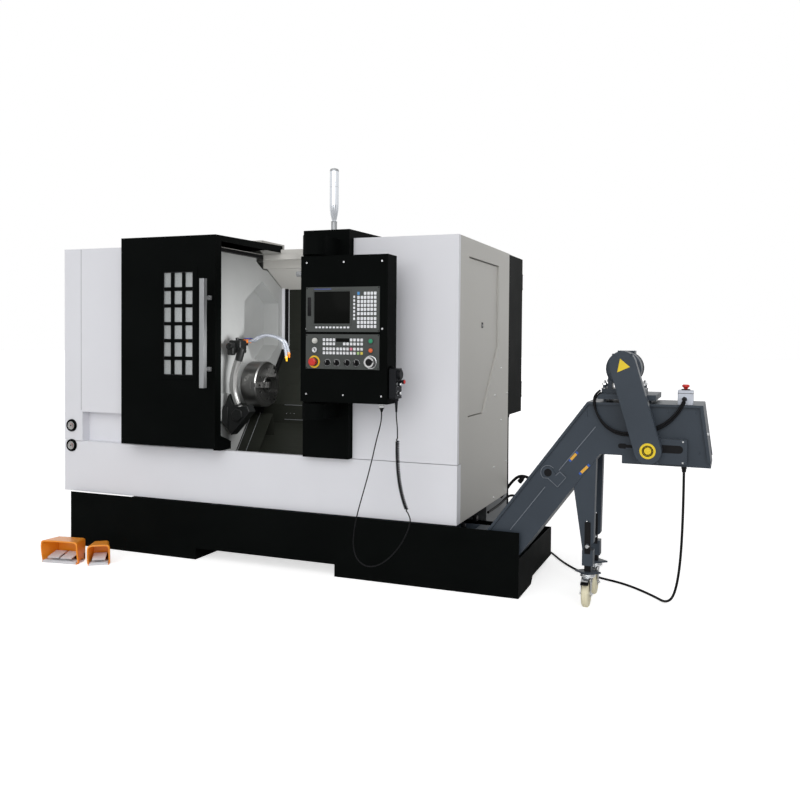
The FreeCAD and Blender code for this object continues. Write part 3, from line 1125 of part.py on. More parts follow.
def electricalCabinet():
    shell = tray(cabX0, cabX1 - 1, sideRearY + gap, cabRearY - 22, cabZ0, cabinetTopZ - 3, "+y")
    plate = box(cabX0 + 60, cabX1 - 60, sideRearY + 30, sideRearY + 33, cabZ0 + 60, cabinetTopZ - 60)
    posts = [rodY(x, sideRearY + 2, sideRearY + 31, z, 8) for x in (cabX0 + 90, cabX1 - 90)
             for z in (cabZ0 + 90, cabinetTopZ - 90)]
    modules = [box(cabX0 + 110 + i * 150, cabX0 + 220 + i * 150, sideRearY + 33, sideRearY + 190, 1350, 1620)
               for i in range(5)]
    pins, lugs = [], []
    for z in cabHingeZs:
        for low in (z - 40 - 10 - gap, z + 40 + gap):
            lugs.append(box(cabHingeX - 8, cabX1 - 1, cabRearY - 30, cabHingeY + 5, low, low + 10))
        pins.append(rodZ(cabHingeX, cabHingeY, z - 48, z + 48, 4))
    return join(shell, plate, *posts, *modules, *lugs, *pins, cableGland(cableEnd, cabZ0))


cabHingeX, cabHingeY = cabX1 - 9.0, cabRearY - 14.0
cabHingeZs = (950.0, 1650.0)


def cabinetDoor():
    y0 = cabRearY - 22 + 2
    leaf = tray(cabX0, cabX1 - 22, y0, cabRearY, cabZ0, cabinetTopZ - 3, "-y")
    swivel = [box(cabX0 + 24, cabX0 + 44, cabRearY - 3, cabRearY, z, z + 70) for z in (1000.0, 1300.0, 1600.0)]
    isolator = rodY((cabX0 + cabX1) / 2, cabRearY - 20, cabRearY, 1560, 34)
    knuckles, bores = [], []
    for z in cabHingeZs:
        barrel = rodZ(cabHingeX, cabHingeY, z - 40, z + 40, 8)
        web = box(cabX1 - 24, cabHingeX, cabHingeY + 2, cabHingeY + 6, z - 40, z + 40)
        knuckles += [barrel, web]
        bores.append(rodZ(cabHingeX, cabHingeY, z - 50, z + 50, 4.05))
    return cut(join(leaf, *swivel, isolator, *knuckles), *bores)


def towerLight():
    x, y, z0 = 519.0, -600.0, columnCapZ + 1.2
    return turned([(0, 0), (0, 34), (6, 34), (6, 16), (60, 16), (64, 25), (336, 25), (346, 21), (350, 10), (350, 0)],
                  x, y, z0, Vector(0, 0, 1))


# ---- foot switches -----------------------------------------------------------------------------------------------------

def onFloor(shape, guard):
    """Move a shape drawn at the origin to the place of its guard."""
    x, y, turn = guard[:3]
    piece = shape.copy()
    piece.rotate(Vector(0, 0, 0), Vector(0, 0, 1), turn)
    piece.translate(Vector(x, y, 0))
    return piece


def guardSolid(wide, high, narrow, inset, z0):
    """Tapered hood body with rounded upper side edges, shrunk by `inset`."""
    front = -1 if inset else 0
    plan = [(inset, front), (wide - inset, front), (wide - narrow - inset, guardDeep - inset),
            (narrow + inset, guardDeep - inset)]
    body = prismZ(plan, z0, high - inset)
    upper = [e for e in body.Edges if e.CenterOfMass.z > high - inset - 1
             and (abs(e.tangentAt(e.FirstParameter).y) > 0.5 or e.CenterOfMass.y > guardDeep / 2)]
    return body.makeFillet(guardRound - inset, upper)


def footGuard(guard):
    """Hooded cast guard open to the front, with its base plate and pedal pins."""
    wide, high, narrow = guard[3:]
    hood = guardSolid(wide, high, narrow, 0, 0)
    hollow = guardSolid(wide, high, narrow, guardWall, 8)
    lean = prismX([(-1, high * 0.55), (-1, -1), (16, -1)], -1, wide + 1)
    sill = box(guardWall, wide - guardWall, 2, 24, 0, 8)
    pieces = [sill]
    for x in pedalMiddles(guard):
        edge = pedalWide / 2 - 10
        pieces += [box(x + side * edge - 3, x + side * edge + 3, pedalPinBack - 9, pedalPinBack + 9, 7, pedalPinZ + 8)
                   for side in (-1, 1)]
        pieces.append(rodX(x - edge, x + edge, pedalPinBack, pedalPinZ, pedalPinR))
    return join(cut(hood, lean, hollow), *pieces)


def pedalMiddles(guard):
    wide = guard[3]
    return [wide / 2 - pedalSpacing / 2, wide / 2 + pedalSpacing / 2] if wide > 2 * pedalWide else [wide / 2]


def footGuards():
    return Part.makeCompound([onFloor(footGuard(guard), guard) for guard in (doubleGuard, singleGuard)])


def footPedal(x):
    """Treadle that tips forward about the pin near its rear edge."""
    half = pedalWide / 2
    y, z = pedalPinBack, pedalPinZ
    plate = prismX([(y - 70, z + 10), (y - 70, z + 15), (y - 62, z + 18), (y + 8, z + 22), (y + 12, z + 18),
                    (y + 12, z + 14), (y - 62, z + 12)], x - half, x + half)
    reach = half - 13 - gap
    hub = rodX(x - reach, x + reach, y, z, pedalPinR + 5)
    web = box(x - reach, x + reach, y - 4, y + 4, z + 4, z + 16)
    bore = rodX(x - reach - 1, x + reach + 1, y, z, pedalPinR + 0.05)
    return cut(join(plate, hub, web), bore)


footPedals = {
    "foot_pedal_left": (doubleGuard, 0),
    "foot_pedal_right": (doubleGuard, 1),
    "foot_pedal_single": (singleGuard, 0),
}


# ---- write every piece -----------------------------------------------------------------------------------------------------

os.makedirs("parts", exist_ok=True)
panelFront = pendantY0 - panelProud
pieces = {
    "coolant_tank": coolantTank(),
    "machine_bed": machineBed(),
    "headstock": headstock(),
    "spindle_motor": spindleMotor(),
    "front_cover_left": frontCoverLeft(),
    "front_apron": frontApron(),
    "front_cover_right": frontCoverRight(),
    "side_cover_left": sideCoverLeft(),
    "side_cover_right": sideCoverRight(),
    "roof_cover": roofCover(),
    "pressure_gauges": pressureGauges(),
    "pendant_column": pendantColumn(),
    "spindle_wall": spindleWall(),
    "back_wall": backWall(),
    "coolant_lines": coolantLines(),
    "setter_arm": setterArm(),
    "door_panel": doorPanel(),
    "door_window": doorWindow(),
    "door_handle": doorHandle(),
    "side_door": sideDoor(),
    "spindle": spindle(),
    "chuck_body": chuckBody(),
    "carriage": carriage(),
    "cross_slide": crossSlide(),
    "turret_disc": turretDisc(),
    "tailstock": tailstock(),
    "quill": quill(),
    "pendant_box": pendantBox(),
    "control_panels": controlPanels(),
    "stop_button": stopButton(stopX, stopZ, panelFront),
    "start_button": pressButton(startX, startZ, buttonR, buttonR - 3, 8, panelFront),
    "hold_button": pressButton(holdX, holdZ, buttonR, buttonR - 3, 8, panelFront),
    "panel_handwheel": panelHandwheel(panelFront),
    "hand_unit": handUnit(),
    "hand_cord": handCord(),
    "hand_cord_curl": handCordCurl(),
    "conveyor_trough": conveyorTrough(),
    "conveyor_gearmotor": conveyorGearmotor(),
    "chain_guard": chainGuard(),
    "power_cable": powerCable(),
    "stop_box": stopBox(),
    "conveyor_stop_button": conveyorStopButton(),
    "electrical_cabinet": electricalCabinet(),
    "cabinet_door": cabinetDoor(),
    "tower_light": towerLight(),
    "foot_guards": footGuards(),
}
for number, angle in enumerate(jawAngles, 1):
    pieces["chuck_jaw_%d" % number] = chuckJaw(angle)
for number, x in enumerate(selectorXs, 1):
    pieces["selector_knob_%d" % number] = selectorKnob(x, panelFront)
for place, y in zip(("front", "rear"), legYs):
    pieces["caster_fork_" + place] = casterFork(y)
    pieces["caster_wheel_" + place] = casterWheel(y)
for name, (guard, place) in footPedals.items():
    pieces[name] = onFloor(footPedal(pedalMiddles(guard)[place]), guard)

# the origin goes under the middle of the machine, without the cords
cords = ("hand_cord", "hand_cord_curl", "power_cable")
whole = FreeCAD.BoundBox()
for name, shape in pieces.items():
    if name not in cords:
        whole.add(shape.BoundBox)
shift = Vector(-whole.Center.x, -whole.Center.y, -whole.ZMin)

for name, shape in pieces.items():
    save(name, shape, shift)
    print(name, "solids", len(shape.Solids), "valid", shape.isValid())
print(len(pieces), "pieces, shift", shift)
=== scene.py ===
import json
import math

import bmesh
import bpy
from mathutils import Matrix, Vector


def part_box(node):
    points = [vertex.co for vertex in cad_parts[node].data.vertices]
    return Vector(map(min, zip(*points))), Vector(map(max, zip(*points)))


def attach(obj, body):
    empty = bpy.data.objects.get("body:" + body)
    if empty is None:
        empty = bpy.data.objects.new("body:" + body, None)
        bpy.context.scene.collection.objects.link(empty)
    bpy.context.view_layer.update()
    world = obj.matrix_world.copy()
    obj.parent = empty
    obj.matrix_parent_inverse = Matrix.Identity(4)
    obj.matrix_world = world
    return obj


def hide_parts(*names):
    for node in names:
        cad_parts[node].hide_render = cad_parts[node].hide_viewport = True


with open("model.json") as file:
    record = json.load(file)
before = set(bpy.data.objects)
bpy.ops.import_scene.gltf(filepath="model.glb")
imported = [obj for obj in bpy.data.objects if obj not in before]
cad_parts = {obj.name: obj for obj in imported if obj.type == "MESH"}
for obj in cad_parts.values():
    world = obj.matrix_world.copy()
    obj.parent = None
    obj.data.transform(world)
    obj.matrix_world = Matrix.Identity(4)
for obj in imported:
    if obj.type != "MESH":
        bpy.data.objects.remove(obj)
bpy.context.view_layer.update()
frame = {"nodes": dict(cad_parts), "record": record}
nodes = frame["nodes"]

# every length below is in millimetres about the cabinet's datum: the middle of
# its front, 700 behind the front panels, on the floor
apronLow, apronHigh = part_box("front_apron")
datum = Vector(((apronLow.x + apronHigh.x) / 2, apronLow.y + 0.7, 0))
placing = Matrix.Translation(datum) @ Matrix.Scale(0.001, 4)


def at(x, y, z):
    return placing @ Vector((x, y, z))


# camera, lights and floor

view = {"place": (2578, -4557, 1260), "yaw": 20.41, "pitch": -1.27, "roll": 0.50,
        "focal": 807.0, "centre": (433.5, 359.0), "picture": 800, "sensor": 36.0}

light = {"key": 1.62, "keyTurn": (70, 0, 12), "keyAngle": 75,
         "fill": 0.10, "fillTurn": (62, 0, 62), "fillAngle": 70, "air": 0.41,
         "inside": 5.0, "insidePlace": (340, -520, 1200), "insideAim": (-310, 60, 1250), "insideSize": 0.26,
         "floorGlow": 0.64}


def setCamera():
    data = bpy.data.cameras.new("camera")
    camera = bpy.data.objects.new("camera", data)
    bpy.context.scene.collection.objects.link(camera)
    turn = (Matrix.Rotation(math.radians(view["yaw"]), 4, "Z")
            @ Matrix.Rotation(math.radians(90 + view["pitch"]), 4, "X")
            @ Matrix.Rotation(math.radians(view["roll"]), 4, "Z"))
    camera.matrix_world = Matrix.Translation(at(*view["place"])) @ turn
    data.sensor_width = view["sensor"]
    data.lens = view["focal"] * view["sensor"] / view["picture"]
    data.shift_x = (view["picture"] / 2 - view["centre"][0]) / view["picture"]
    data.shift_y = (view["centre"][1] - view["picture"] / 2) / view["picture"]
    data.clip_end = 200
    bpy.context.scene.camera = camera


def grow(tree, kind, inputs=None, **settings):
    node = tree.nodes.new(kind)
    for key, value in settings.items():
        setattr(node, key, value)
    for key, value in (inputs or {}).items():
        socket = node.inputs[key]
        if isinstance(value, bpy.types.NodeSocket):
            tree.links.new(value, socket)
        else:
            socket.default_value = value
    return node


def maths(tree, operation, *values):
    return grow(tree, "ShaderNodeMath", dict(enumerate(values)), operation=operation)


def seenRays(tree):
    rays = grow(tree, "ShaderNodeLightPath")
    return rays.outputs, maths(tree, "MAXIMUM", rays.outputs["Is Camera Ray"], rays.outputs["Is Transmission Ray"])


def setLights():
    for name, power, turn, angle in (("key", light["key"], light["keyTurn"], light["keyAngle"]),
                                     ("fill", light["fill"], light["fillTurn"], light["fillAngle"])):
        data = bpy.data.lights.new(name, "SUN")
        data.energy, data.angle = power, math.radians(angle)
        lamp = bpy.data.objects.new(name, data)
        lamp.rotation_euler = [math.radians(a) for a in turn]
        bpy.context.scene.collection.objects.link(lamp)
    data = bpy.data.lights.new("inside", "AREA")
    data.energy, data.size = light["inside"], light["insideSize"]
    lamp = bpy.data.objects.new("inside", data)
    aim = (Vector(light["insideAim"]) - Vector(light["insidePlace"])).to_track_quat("-Z", "Y")
    lamp.matrix_world = Matrix.Translation(at(*light["insidePlace"])) @ aim.to_matrix().to_4x4()
    lamp.visible_camera = False
    bpy.context.scene.collection.objects.link(lamp)
    world = bpy.data.worlds.new("studio")
    bpy.context.scene.world = world
    world.use_nodes = True
    tree = world.node_tree
    tree.nodes.clear()
    rays, seen = seenRays(tree)
    shone = maths(tree, "MAXIMUM", seen.outputs[0], rays["Is Glossy Ray"])
    strength = grow(tree, "ShaderNodeMapRange", {"Value": shone.outputs[0], "To Min": light["air"], "To Max": 1.0})
    back = grow(tree, "ShaderNodeBackground", {"Color": (1, 1, 1, 1), "Strength": strength.outputs[0]})
    grow(tree, "ShaderNodeOutputWorld", {"Surface": back.outputs[0]})


def layFloor():
    mesh = bpy.data.meshes.new("floor")
    half = 60
    mesh.from_pydata([(-half, -half, 0), (half, -half, 0), (half, half, 0), (-half, half, 0)], [], [(0, 1, 2, 3)])
    floor = bpy.data.objects.new("floor", mesh)
    bpy.context.scene.collection.objects.link(floor)
    material = bpy.data.materials.new("paleFloor")
    material.use_nodes = True
    tree = material.node_tree
    tree.nodes.clear()
    seen = seenRays(tree)[1]
    strength = maths(tree, "MULTIPLY", seen.outputs[0], light["floorGlow"])
    matt = grow(tree, "ShaderNodeBsdfDiffuse", {"Color": (0.92, 0.92, 0.92, 1)})
    glow = grow(tree, "ShaderNodeEmission", {"Strength": strength.outputs[0]})
    both = grow(tree, "ShaderNodeAddShader", {0: matt.outputs[0], 1: glow.outputs[0]})
    grow(tree, "ShaderNodeOutputMaterial", {"Surface": both.outputs[0]})
    mesh.materials.append(material)


setCamera()
setLights()
layFloor()
bpy.context.scene.view_settings.view_transform = "Standard"
print("camera and studio set")


# shader groups that the finishes share

def newGroup(name, takes, gives):
    group = bpy.data.node_groups.new(name, "ShaderNodeTree")
    for label, value in takes.items():
        kind = "NodeSocketColor" if isinstance(value, tuple) else "NodeSocketFloat"
        socket = group.interface.new_socket(label, in_out="INPUT", socket_type=kind)
        socket.default_value = value
    for label, kind in gives.items():
        group.interface.new_socket(label, in_out="OUTPUT", socket_type="NodeSocket" + kind)
    return group, group.nodes.new("NodeGroupInput").outputs, group.nodes.new("NodeGroupOutput").inputs


def noise(tree, scale, detail, **more):
    place = grow(tree, "ShaderNodeTexCoord")
    more = {key.capitalize(): value for key, value in more.items()}
    return grow(tree, "ShaderNodeTexNoise", {"Vector": place.outputs["Object"], "Scale": scale, "Detail": detail,
                                             **more}).outputs[0]


def speckGroup():
    group, takes, gives = newGroup("coatGrain", {"Scale": 900.0, "Blotch": 3.0},
                                   {"Height": "Float", "Blotch": "Float"})
    group.links.new(noise(group, takes["Scale"], 2.0), gives["Height"])
    group.links.new(noise(group, takes["Blotch"], 4.0, roughness=0.6), gives["Blotch"])
    return group


def edgeGroup():
    # mask of the rounded edges for a lighter colour: wear, and on the black and conveyor paints also a painted
    # highlight along the edges
    group, takes, gives = newGroup("edgeWearAndHighlight", {"Radius": 0.0015, "Broken": 30.0},
                                   {"Normal": "Vector", "Mask": "Float"})
    soft = grow(group, "ShaderNodeBevel", {"Radius": takes["Radius"]}, samples=4)
    flat = grow(group, "ShaderNodeNewGeometry")
    along = grow(group, "ShaderNodeVectorMath", {0: soft.outputs[0], 1: flat.outputs["Normal"]},
        operation="DOT_PRODUCT")
    edge = grow(group, "ShaderNodeMapRange", {"Value": along.outputs["Value"], "From Min": 0.995, "From Max": 0.8})
    spots = noise(group, takes["Broken"], 6.0)
    bare = grow(group, "ShaderNodeMapRange", {"Value": spots, "From Min": 0.45, "From Max": 0.62})
    mask = maths(group, "MULTIPLY", edge.outputs[0], bare.outputs[0])
    group.links.new(soft.outputs[0], gives["Normal"])
    group.links.new(mask.outputs[0], gives["Mask"])
    return group


def dustGroup():
    group, takes, gives = newGroup("dustFall", {"Scale": 14.0, "Floor height": 0.1}, {"Mask": "Float"})
    place = grow(group, "ShaderNodeTexCoord")
    flat = grow(group, "ShaderNodeNewGeometry")
    up = grow(group, "ShaderNodeSeparateXYZ", {0: flat.outputs["Normal"]})
    point = grow(group, "ShaderNodeSeparateXYZ", {0: place.outputs["Object"]})
    top = grow(group, "ShaderNodeMapRange", {"Value": up.outputs["Z"], "From Min": 0.3, "From Max": 1.0})
    low = grow(group, "ShaderNodeMapRange", {"Value": point.outputs["Z"], "From Min": takes["Floor height"],
                                             "From Max": 0.0})
    both = maths(group, "MAXIMUM", top.outputs[0], low.outputs[0])
    cloud = noise(group, takes["Scale"], 5.0)
    spread = grow(group, "ShaderNodeMapRange", {"Value": cloud, "From Min": 0.35, "From Max": 0.75})
    mask = maths(group, "MULTIPLY", both.outputs[0], spread.outputs[0])
    group.links.new(mask.outputs[0], gives["Mask"])
    return group


def turnedGroup():
    group, takes, gives = newGroup("turnedLines", {"Y": 0.0, "Z": 0.0, "Pitch": 900.0}, {"Lines": "Float"})
    place = grow(group, "ShaderNodeTexCoord")
    point = grow(group, "ShaderNodeSeparateXYZ", {0: place.outputs["Object"]})
    dy = maths(group, "SUBTRACT", point.outputs["Y"], takes["Y"])
    dz = maths(group, "SUBTRACT", point.outputs["Z"], takes["Z"])
    across = grow(group, "ShaderNodeCombineXYZ", {"X": dy.outputs[0], "Y": dz.outputs[0]})
    radius = grow(group, "ShaderNodeVectorMath", {0: across.outputs[0]}, operation="LENGTH")
    spot = grow(group, "ShaderNodeCombineXYZ", {"X": radius.outputs["Value"], "Y": point.outputs["X"]})
    lines = grow(group, "ShaderNodeTexNoise", {"Vector": spot.outputs[0], "Scale": takes["Pitch"], "Detail": 2.0})
    group.links.new(lines.outputs[0], gives["Lines"])
    return group


def brushedGroup():
    group, takes, gives = newGroup("brushedLines", {"Along X": 4.0, "Along Y": 600.0, "Along Z": 600.0},
                                   {"Lines": "Float"})
    place = grow(group, "ShaderNodeTexCoord")
    stretch = grow(group, "ShaderNodeCombineXYZ", {"X": takes["Along X"], "Y": takes["Along Y"],
        "Z": takes["Along Z"]})
    point = grow(group, "ShaderNodeVectorMath", {0: place.outputs["Object"], 1: stretch.outputs[0]},
        operation="MULTIPLY")
    lines = grow(group, "ShaderNodeTexNoise", {"Vector": point.outputs[0], "Scale": 1.0, "Detail": 3.0})
    group.links.new(lines.outputs[0], gives["Lines"])
    return group


grainNodes, edgeNodes, dustNodes = speckGroup(), edgeGroup(), dustGroup()
turnedNodes, brushedNodes = turnedGroup(), brushedGroup()


def useGroup(tree, group, inputs=None):
    node = tree.nodes.new("ShaderNodeGroup")
    node.node_tree = group
    for key, value in (inputs or {}).items():
        node.inputs[key].default_value = value
    return node.outputs


def mixed(tree, share, first, second):
    node = grow(tree, "ShaderNodeMix", {"Factor": share}, data_type="RGBA")
    for index, value in ((6, first), (7, second)):
        if isinstance(value, bpy.types.NodeSocket):
            tree.links.new(value, node.inputs[index])
        else:
            node.inputs[index].default_value = (*value, 1)
    return node.outputs[2]


def scaled(tree, value, low, high):
    return grow(tree, "ShaderNodeMapRange", {"Value": value, "From Min": 0.3, "From Max": 0.7,
                                             "To Min": low, "To Max": high}).outputs[0]


common = {"roughSpread": 0.08, "lineDepth": 0.00003, "wearSize": 30.0}


def makeFinish(name, color, rough, metal=0.0, shade=0.06, grain=900.0, depth=0.00004, blotch=3.0,
               edge=0.0012, wear=0.0, wearColor=(0.5, 0.5, 0.5), dust=0.0, dustColor=(0.5, 0.49, 0.46),
               floorDust=0.05, lines=None, brushed=None, coat=0.0, index=1.45, alpha=1.0, gloss=0.5):
    material = bpy.data.materials.new(name)
    material.use_nodes = True
    tree = material.node_tree
    tree.nodes.clear()
    coatGrain = useGroup(tree, grainNodes, {"Scale": grain, "Blotch": blotch})
    dark = tuple(c * (1 - shade) for c in color)
    lit = tuple(min(1, c * (1 + shade)) for c in color)
    tint = mixed(tree, scaled(tree, coatGrain["Blotch"], 0, 1), dark, lit)
    roughness = scaled(tree, coatGrain["Blotch"], rough - common["roughSpread"] / 2, rough + common["roughSpread"] / 2)
    height, drop = coatGrain["Height"], depth
    if lines or brushed:
        if lines:
            marks = useGroup(tree, turnedNodes, lines)["Lines"]
        else:
            marks = useGroup(tree, brushedNodes, brushed)["Lines"]
        height, drop = marks, common["lineDepth"]
        tint = mixed(tree, scaled(tree, marks, 0, 0.35), tint, tuple(c * 0.6 for c in color))
        roughness = maths(tree, "ADD", roughness, scaled(tree, marks, -0.06, 0.1)).outputs[0]
    edges = useGroup(tree, edgeNodes, {"Radius": edge, "Broken": common["wearSize"]}) if edge else None
    if wear:
        share = maths(tree, "MULTIPLY", edges["Mask"], wear).outputs[0]
        tint = mixed(tree, share, tint, wearColor)
    if dust:
        fall = useGroup(tree, dustNodes, {"Floor height": floorDust})["Mask"]
        share = maths(tree, "MULTIPLY", fall, dust).outputs[0]
        tint = mixed(tree, share, tint, dustColor)
        roughness = maths(tree, "ADD", roughness, share).outputs[0]
    bump = grow(tree, "ShaderNodeBump", {"Height": height, "Distance": drop, "Strength": 1.0})
    if edges:
        tree.links.new(edges["Normal"], bump.inputs["Normal"])
    surface = grow(tree, "ShaderNodeBsdfPrincipled", {"Base Color": tint, "Roughness": roughness, "Metallic": metal,
                                                     "Normal": bump.outputs[0], "Coat Weight": coat,
                                                     "IOR": index, "Alpha": alpha,
                                                     "Specular IOR Level": gloss})
    grow(tree, "ShaderNodeOutputMaterial", {"Surface": surface.outputs[0]})
    return material


spindle = {"y": -250, "z": 985}
spindleAxis = at(0, spindle["y"], spindle["z"])
spun = {"Y": spindleAxis.y, "Z": spindleAxis.z, "Pitch": 700.0}

finishes = {
    "white_paint": makeFinish("whitePaint", (0.78, 0.785, 0.825), 0.36, shade=0.012, depth=0.00002, dust=0.04,
                              floorDust=0.0, gloss=0.3),
    "grey_paint": makeFinish("greyPaint", (0.56, 0.55, 0.52), 0.42, shade=0.015, depth=0.00002, gloss=0.2),
    # the lighter edge colour is partly wear and partly a painted highlight along the edges
    "black_paint": makeFinish("blackPaint", (0.0036, 0.0043, 0.0041), 0.42, shade=0.15, grain=1400.0, depth=0.00005,
                              dust=0.02, dustColor=(0.1, 0.1, 0.095), wear=0.2, wearColor=(0.035, 0.038, 0.038),
                              index=1.2, gloss=0.05),
    "inner_paint": makeFinish("innerPaint", (0.50, 0.51, 0.505), 0.34, shade=0.05, depth=0.00002, dust=0.06,
                              gloss=0.3),
    "way_cover": makeFinish("wayCover", (0.024, 0.026, 0.021), 0.36, shade=0.1, metal=0.2, gloss=0.2,
                            brushed={"Along X": 6.0, "Along Y": 260.0, "Along Z": 260.0}),
    "bed_iron": makeFinish("bedIron", (0.17, 0.18, 0.19), 0.5, shade=0.08, grain=300.0, depth=0.0003, dust=0.3,
                           wear=0.2),
    "motor_paint": makeFinish("motorPaint", (0.035, 0.042, 0.05), 0.4, grain=500.0, depth=0.0001, dust=0.2, wear=0.3),
    "machined_steel": makeFinish("machinedSteel", (0.24, 0.24, 0.235), 0.36, metal=1.0, lines=spun, edge=0.001,
                                 wear=0.5, wearColor=(0.6, 0.6, 0.6)),
    "slide_iron": makeFinish("slideIron", (0.22, 0.23, 0.24), 0.42, metal=0.5, grain=400.0, depth=0.0001, wear=0.5,
                             wearColor=(0.55, 0.55, 0.55)),
    "gauge_brass": makeFinish("gaugeBrass", (0.62, 0.40, 0.16), 0.25, metal=1.0),
    "coolant_hose": makeFinish("coolantHose", (0.30, 0.32, 0.36), 0.28, shade=0.45, blotch=220.0, coat=0.4),
    "setter_steel": makeFinish("setterSteel", (0.42, 0.42, 0.41), 0.24, metal=0.6),
    "window_glass": makeFinish("windowGlass", (0.75, 0.79, 0.79), 0.05, shade=0.0, depth=0.000002, alpha=0.3,
                               edge=0.0),
    "satin_aluminium": makeFinish("satinAluminium", (0.36, 0.37, 0.38), 0.34, metal=0.6,
                                  brushed={"Along X": 700.0, "Along Y": 700.0, "Along Z": 6.0}),
    "panel_film": makeFinish("panelFilm", (0.075, 0.081, 0.078), 0.4, shade=0.05, grain=2200.0, depth=0.00003,
                             gloss=0.15),
    "stop_red": makeFinish("stopRed", (0.62, 0.02, 0.012), 0.28, coat=0.3),
    "key_green": makeFinish("keyGreen", (0.01, 0.27, 0.13), 0.3, coat=0.3),
    "key_orange": makeFinish("keyOrange", (0.78, 0.13, 0.03), 0.3, coat=0.3),
    "knob_black": makeFinish("knobBlack", (0.007, 0.007, 0.008), 0.35, wear=0.25, wearColor=(0.06, 0.06, 0.06),
                             index=1.3,
                             gloss=0.3),
    "hand_unit_blue": makeFinish("handUnitBlue", (0.009, 0.010, 0.012), 0.42, grain=1800.0, depth=0.00006,
                                 gloss=0.15),
    "cord_black": makeFinish("cordBlack", (0.007, 0.007, 0.008), 0.45, edge=0.0, index=1.3, gloss=0.3),
    # the lighter edge colour is partly wear and partly a painted highlight along the edges
    "conveyor_paint": makeFinish("conveyorPaint", (0.046, 0.058, 0.074), 0.38, shade=0.08, grain=1100.0,
                                 depth=0.00005,
                                 dust=0.05, wear=0.3, wearColor=(0.16, 0.18, 0.2), gloss=0.25),
    "box_grey": makeFinish("boxGrey", (0.60, 0.63, 0.70), 0.4, grain=1600.0, depth=0.00003, dust=0.05),
    "lamp_clear": makeFinish("lampClear", (0.70, 0.73, 0.77), 0.12, metal=0.8, shade=0.03),
    "guard_orange": makeFinish("guardOrange", (1.0, 0.33, 0.02), 0.33, shade=0.05, grain=700.0, depth=0.00008,
                               coat=0.3, dust=0.03, wear=0.15, wearColor=(0.75, 0.5, 0.3)),
    "pedal_grey": makeFinish("pedalGrey", (0.72, 0.73, 0.76), 0.36, metal=0.15, grain=700.0, depth=0.0001, wear=0.4,
                             wearColor=(0.8, 0.8, 0.8)),
    "zinc": makeFinish("zinc", (0.62, 0.63, 0.64), 0.2, metal=1.0, shade=0.08, blotch=40.0),
    "nylon_cream": makeFinish("nylonCream", (0.84, 0.78, 0.56), 0.42, shade=0.06, blotch=12.0, dust=0.15),
}

for part in frame["record"]["subparts"]:
    node = nodes[part["node"]]
    for index in range(max(1, len(node.material_slots))):
        if not node.material_slots:
            node.data.materials.append(None)
        node.material_slots[index].material = finishes[part["material_slot"]]
print("finishes made:", len(finishes))


# mesh helpers

sharpAngle = math.radians(32)
frontward, rightward, upward = (0, -1, 0), (1, 0, 0), (0, 0, 1)


def addBlock(bm, x0, x1, y0, y1, z0, z1, round=0.0, steps=2):
    made = bmesh.ops.create_cube(bm, size=1)["verts"]
    bmesh.ops.transform(bm, matrix=Matrix.Translation(((x0 + x1) / 2, (y0 + y1) / 2, (z0 + z1) / 2))
                        @ Matrix.Diagonal((x1 - x0, y1 - y0, z1 - z0, 1)), verts=made)
    if round:
        edges = list({e for v in made for e in v.link_edges})
        bmesh.ops.bevel(bm, geom=edges, offset=round, segments=steps, profile=0.5, affect="EDGES")


def addTurned(bm, profile, centre, axis, steps=32):
    axis = Vector(axis).normalized()
    side = axis.orthogonal().normalized()
    other = axis.cross(side)
    rings = []
    for along, radius in profile:
        middle = Vector(centre) + axis * along
        if radius <= 0:
            rings.append([bm.verts.new(middle)])
        else:
            rings.append([bm.verts.new(middle + (side * math.cos(a) + other * math.sin(a)) * radius)
                          for a in (2 * math.pi * i / steps for i in range(steps))])
    faces = []
    for low, high in zip(rings, rings[1:]):
        for i in range(steps):
            j = (i + 1) % steps
            corners = [low[i % len(low)], low[j % len(low)], high[j % len(high)], high[i % len(high)]]
            unique = list(dict.fromkeys(corners))
            if len(unique) > 2:
                faces.append(bm.faces.new(unique))
    bmesh.ops.recalc_face_normals(bm, faces=faces)


def addPlate(bm, points, start, stop, plane="XZ"):
    def place(a, b, depth):
        return {"XZ": (a, depth, b), "YZ": (depth, a, b), "XY": (a, b, depth)}[plane]
    first = [bm.verts.new(place(a, b, start)) for a, b in points]
    last = [bm.verts.new(place(a, b, stop)) for a, b in points]
    faces = [bm.faces.new(first), bm.faces.new(last[::-1])]
    for i in range(len(points)):
        j = (i + 1) % len(points)
        faces.append(bm.faces.new([first[i], last[i], last[j], first[j]]))
    bmesh.ops.recalc_face_normals(bm, faces=faces)


def makeCurve(name, points, steps):
    data = bpy.data.curves.new(name, "CURVE")
    data.dimensions = "3D"
    spline = data.splines.new("NURBS")
    spline.points.add(len(points) - 1)
    for spot, point in zip(spline.points, points):
        spot.co = (*point, 1)
    spline.order_u = 3
    spline.use_endpoint_u = True
    spline.resolution_u = steps
    curve = bpy.data.objects.new(name, data)
    bpy.context.scene.collection.objects.link(curve)
    return curve, data


def makeCord(name, points, radius, steps, sides):
    cord, data = makeCurve(name, [at(*point) for point in points], steps)
    data.bevel_depth = radius / 1000
    data.bevel_resolution = sides
    data.use_fill_caps = True
    data.materials.append(finishes["cord_black"])
    return cord


def smoothLine(points, steps=6):
    obj, data = makeCurve("route", points, steps)
    mesh = bpy.data.meshes.new_from_object(obj)
    line = [v.co.copy() for v in mesh.vertices]
    bpy.data.objects.remove(obj)
    bpy.data.curves.remove(data)
    return line


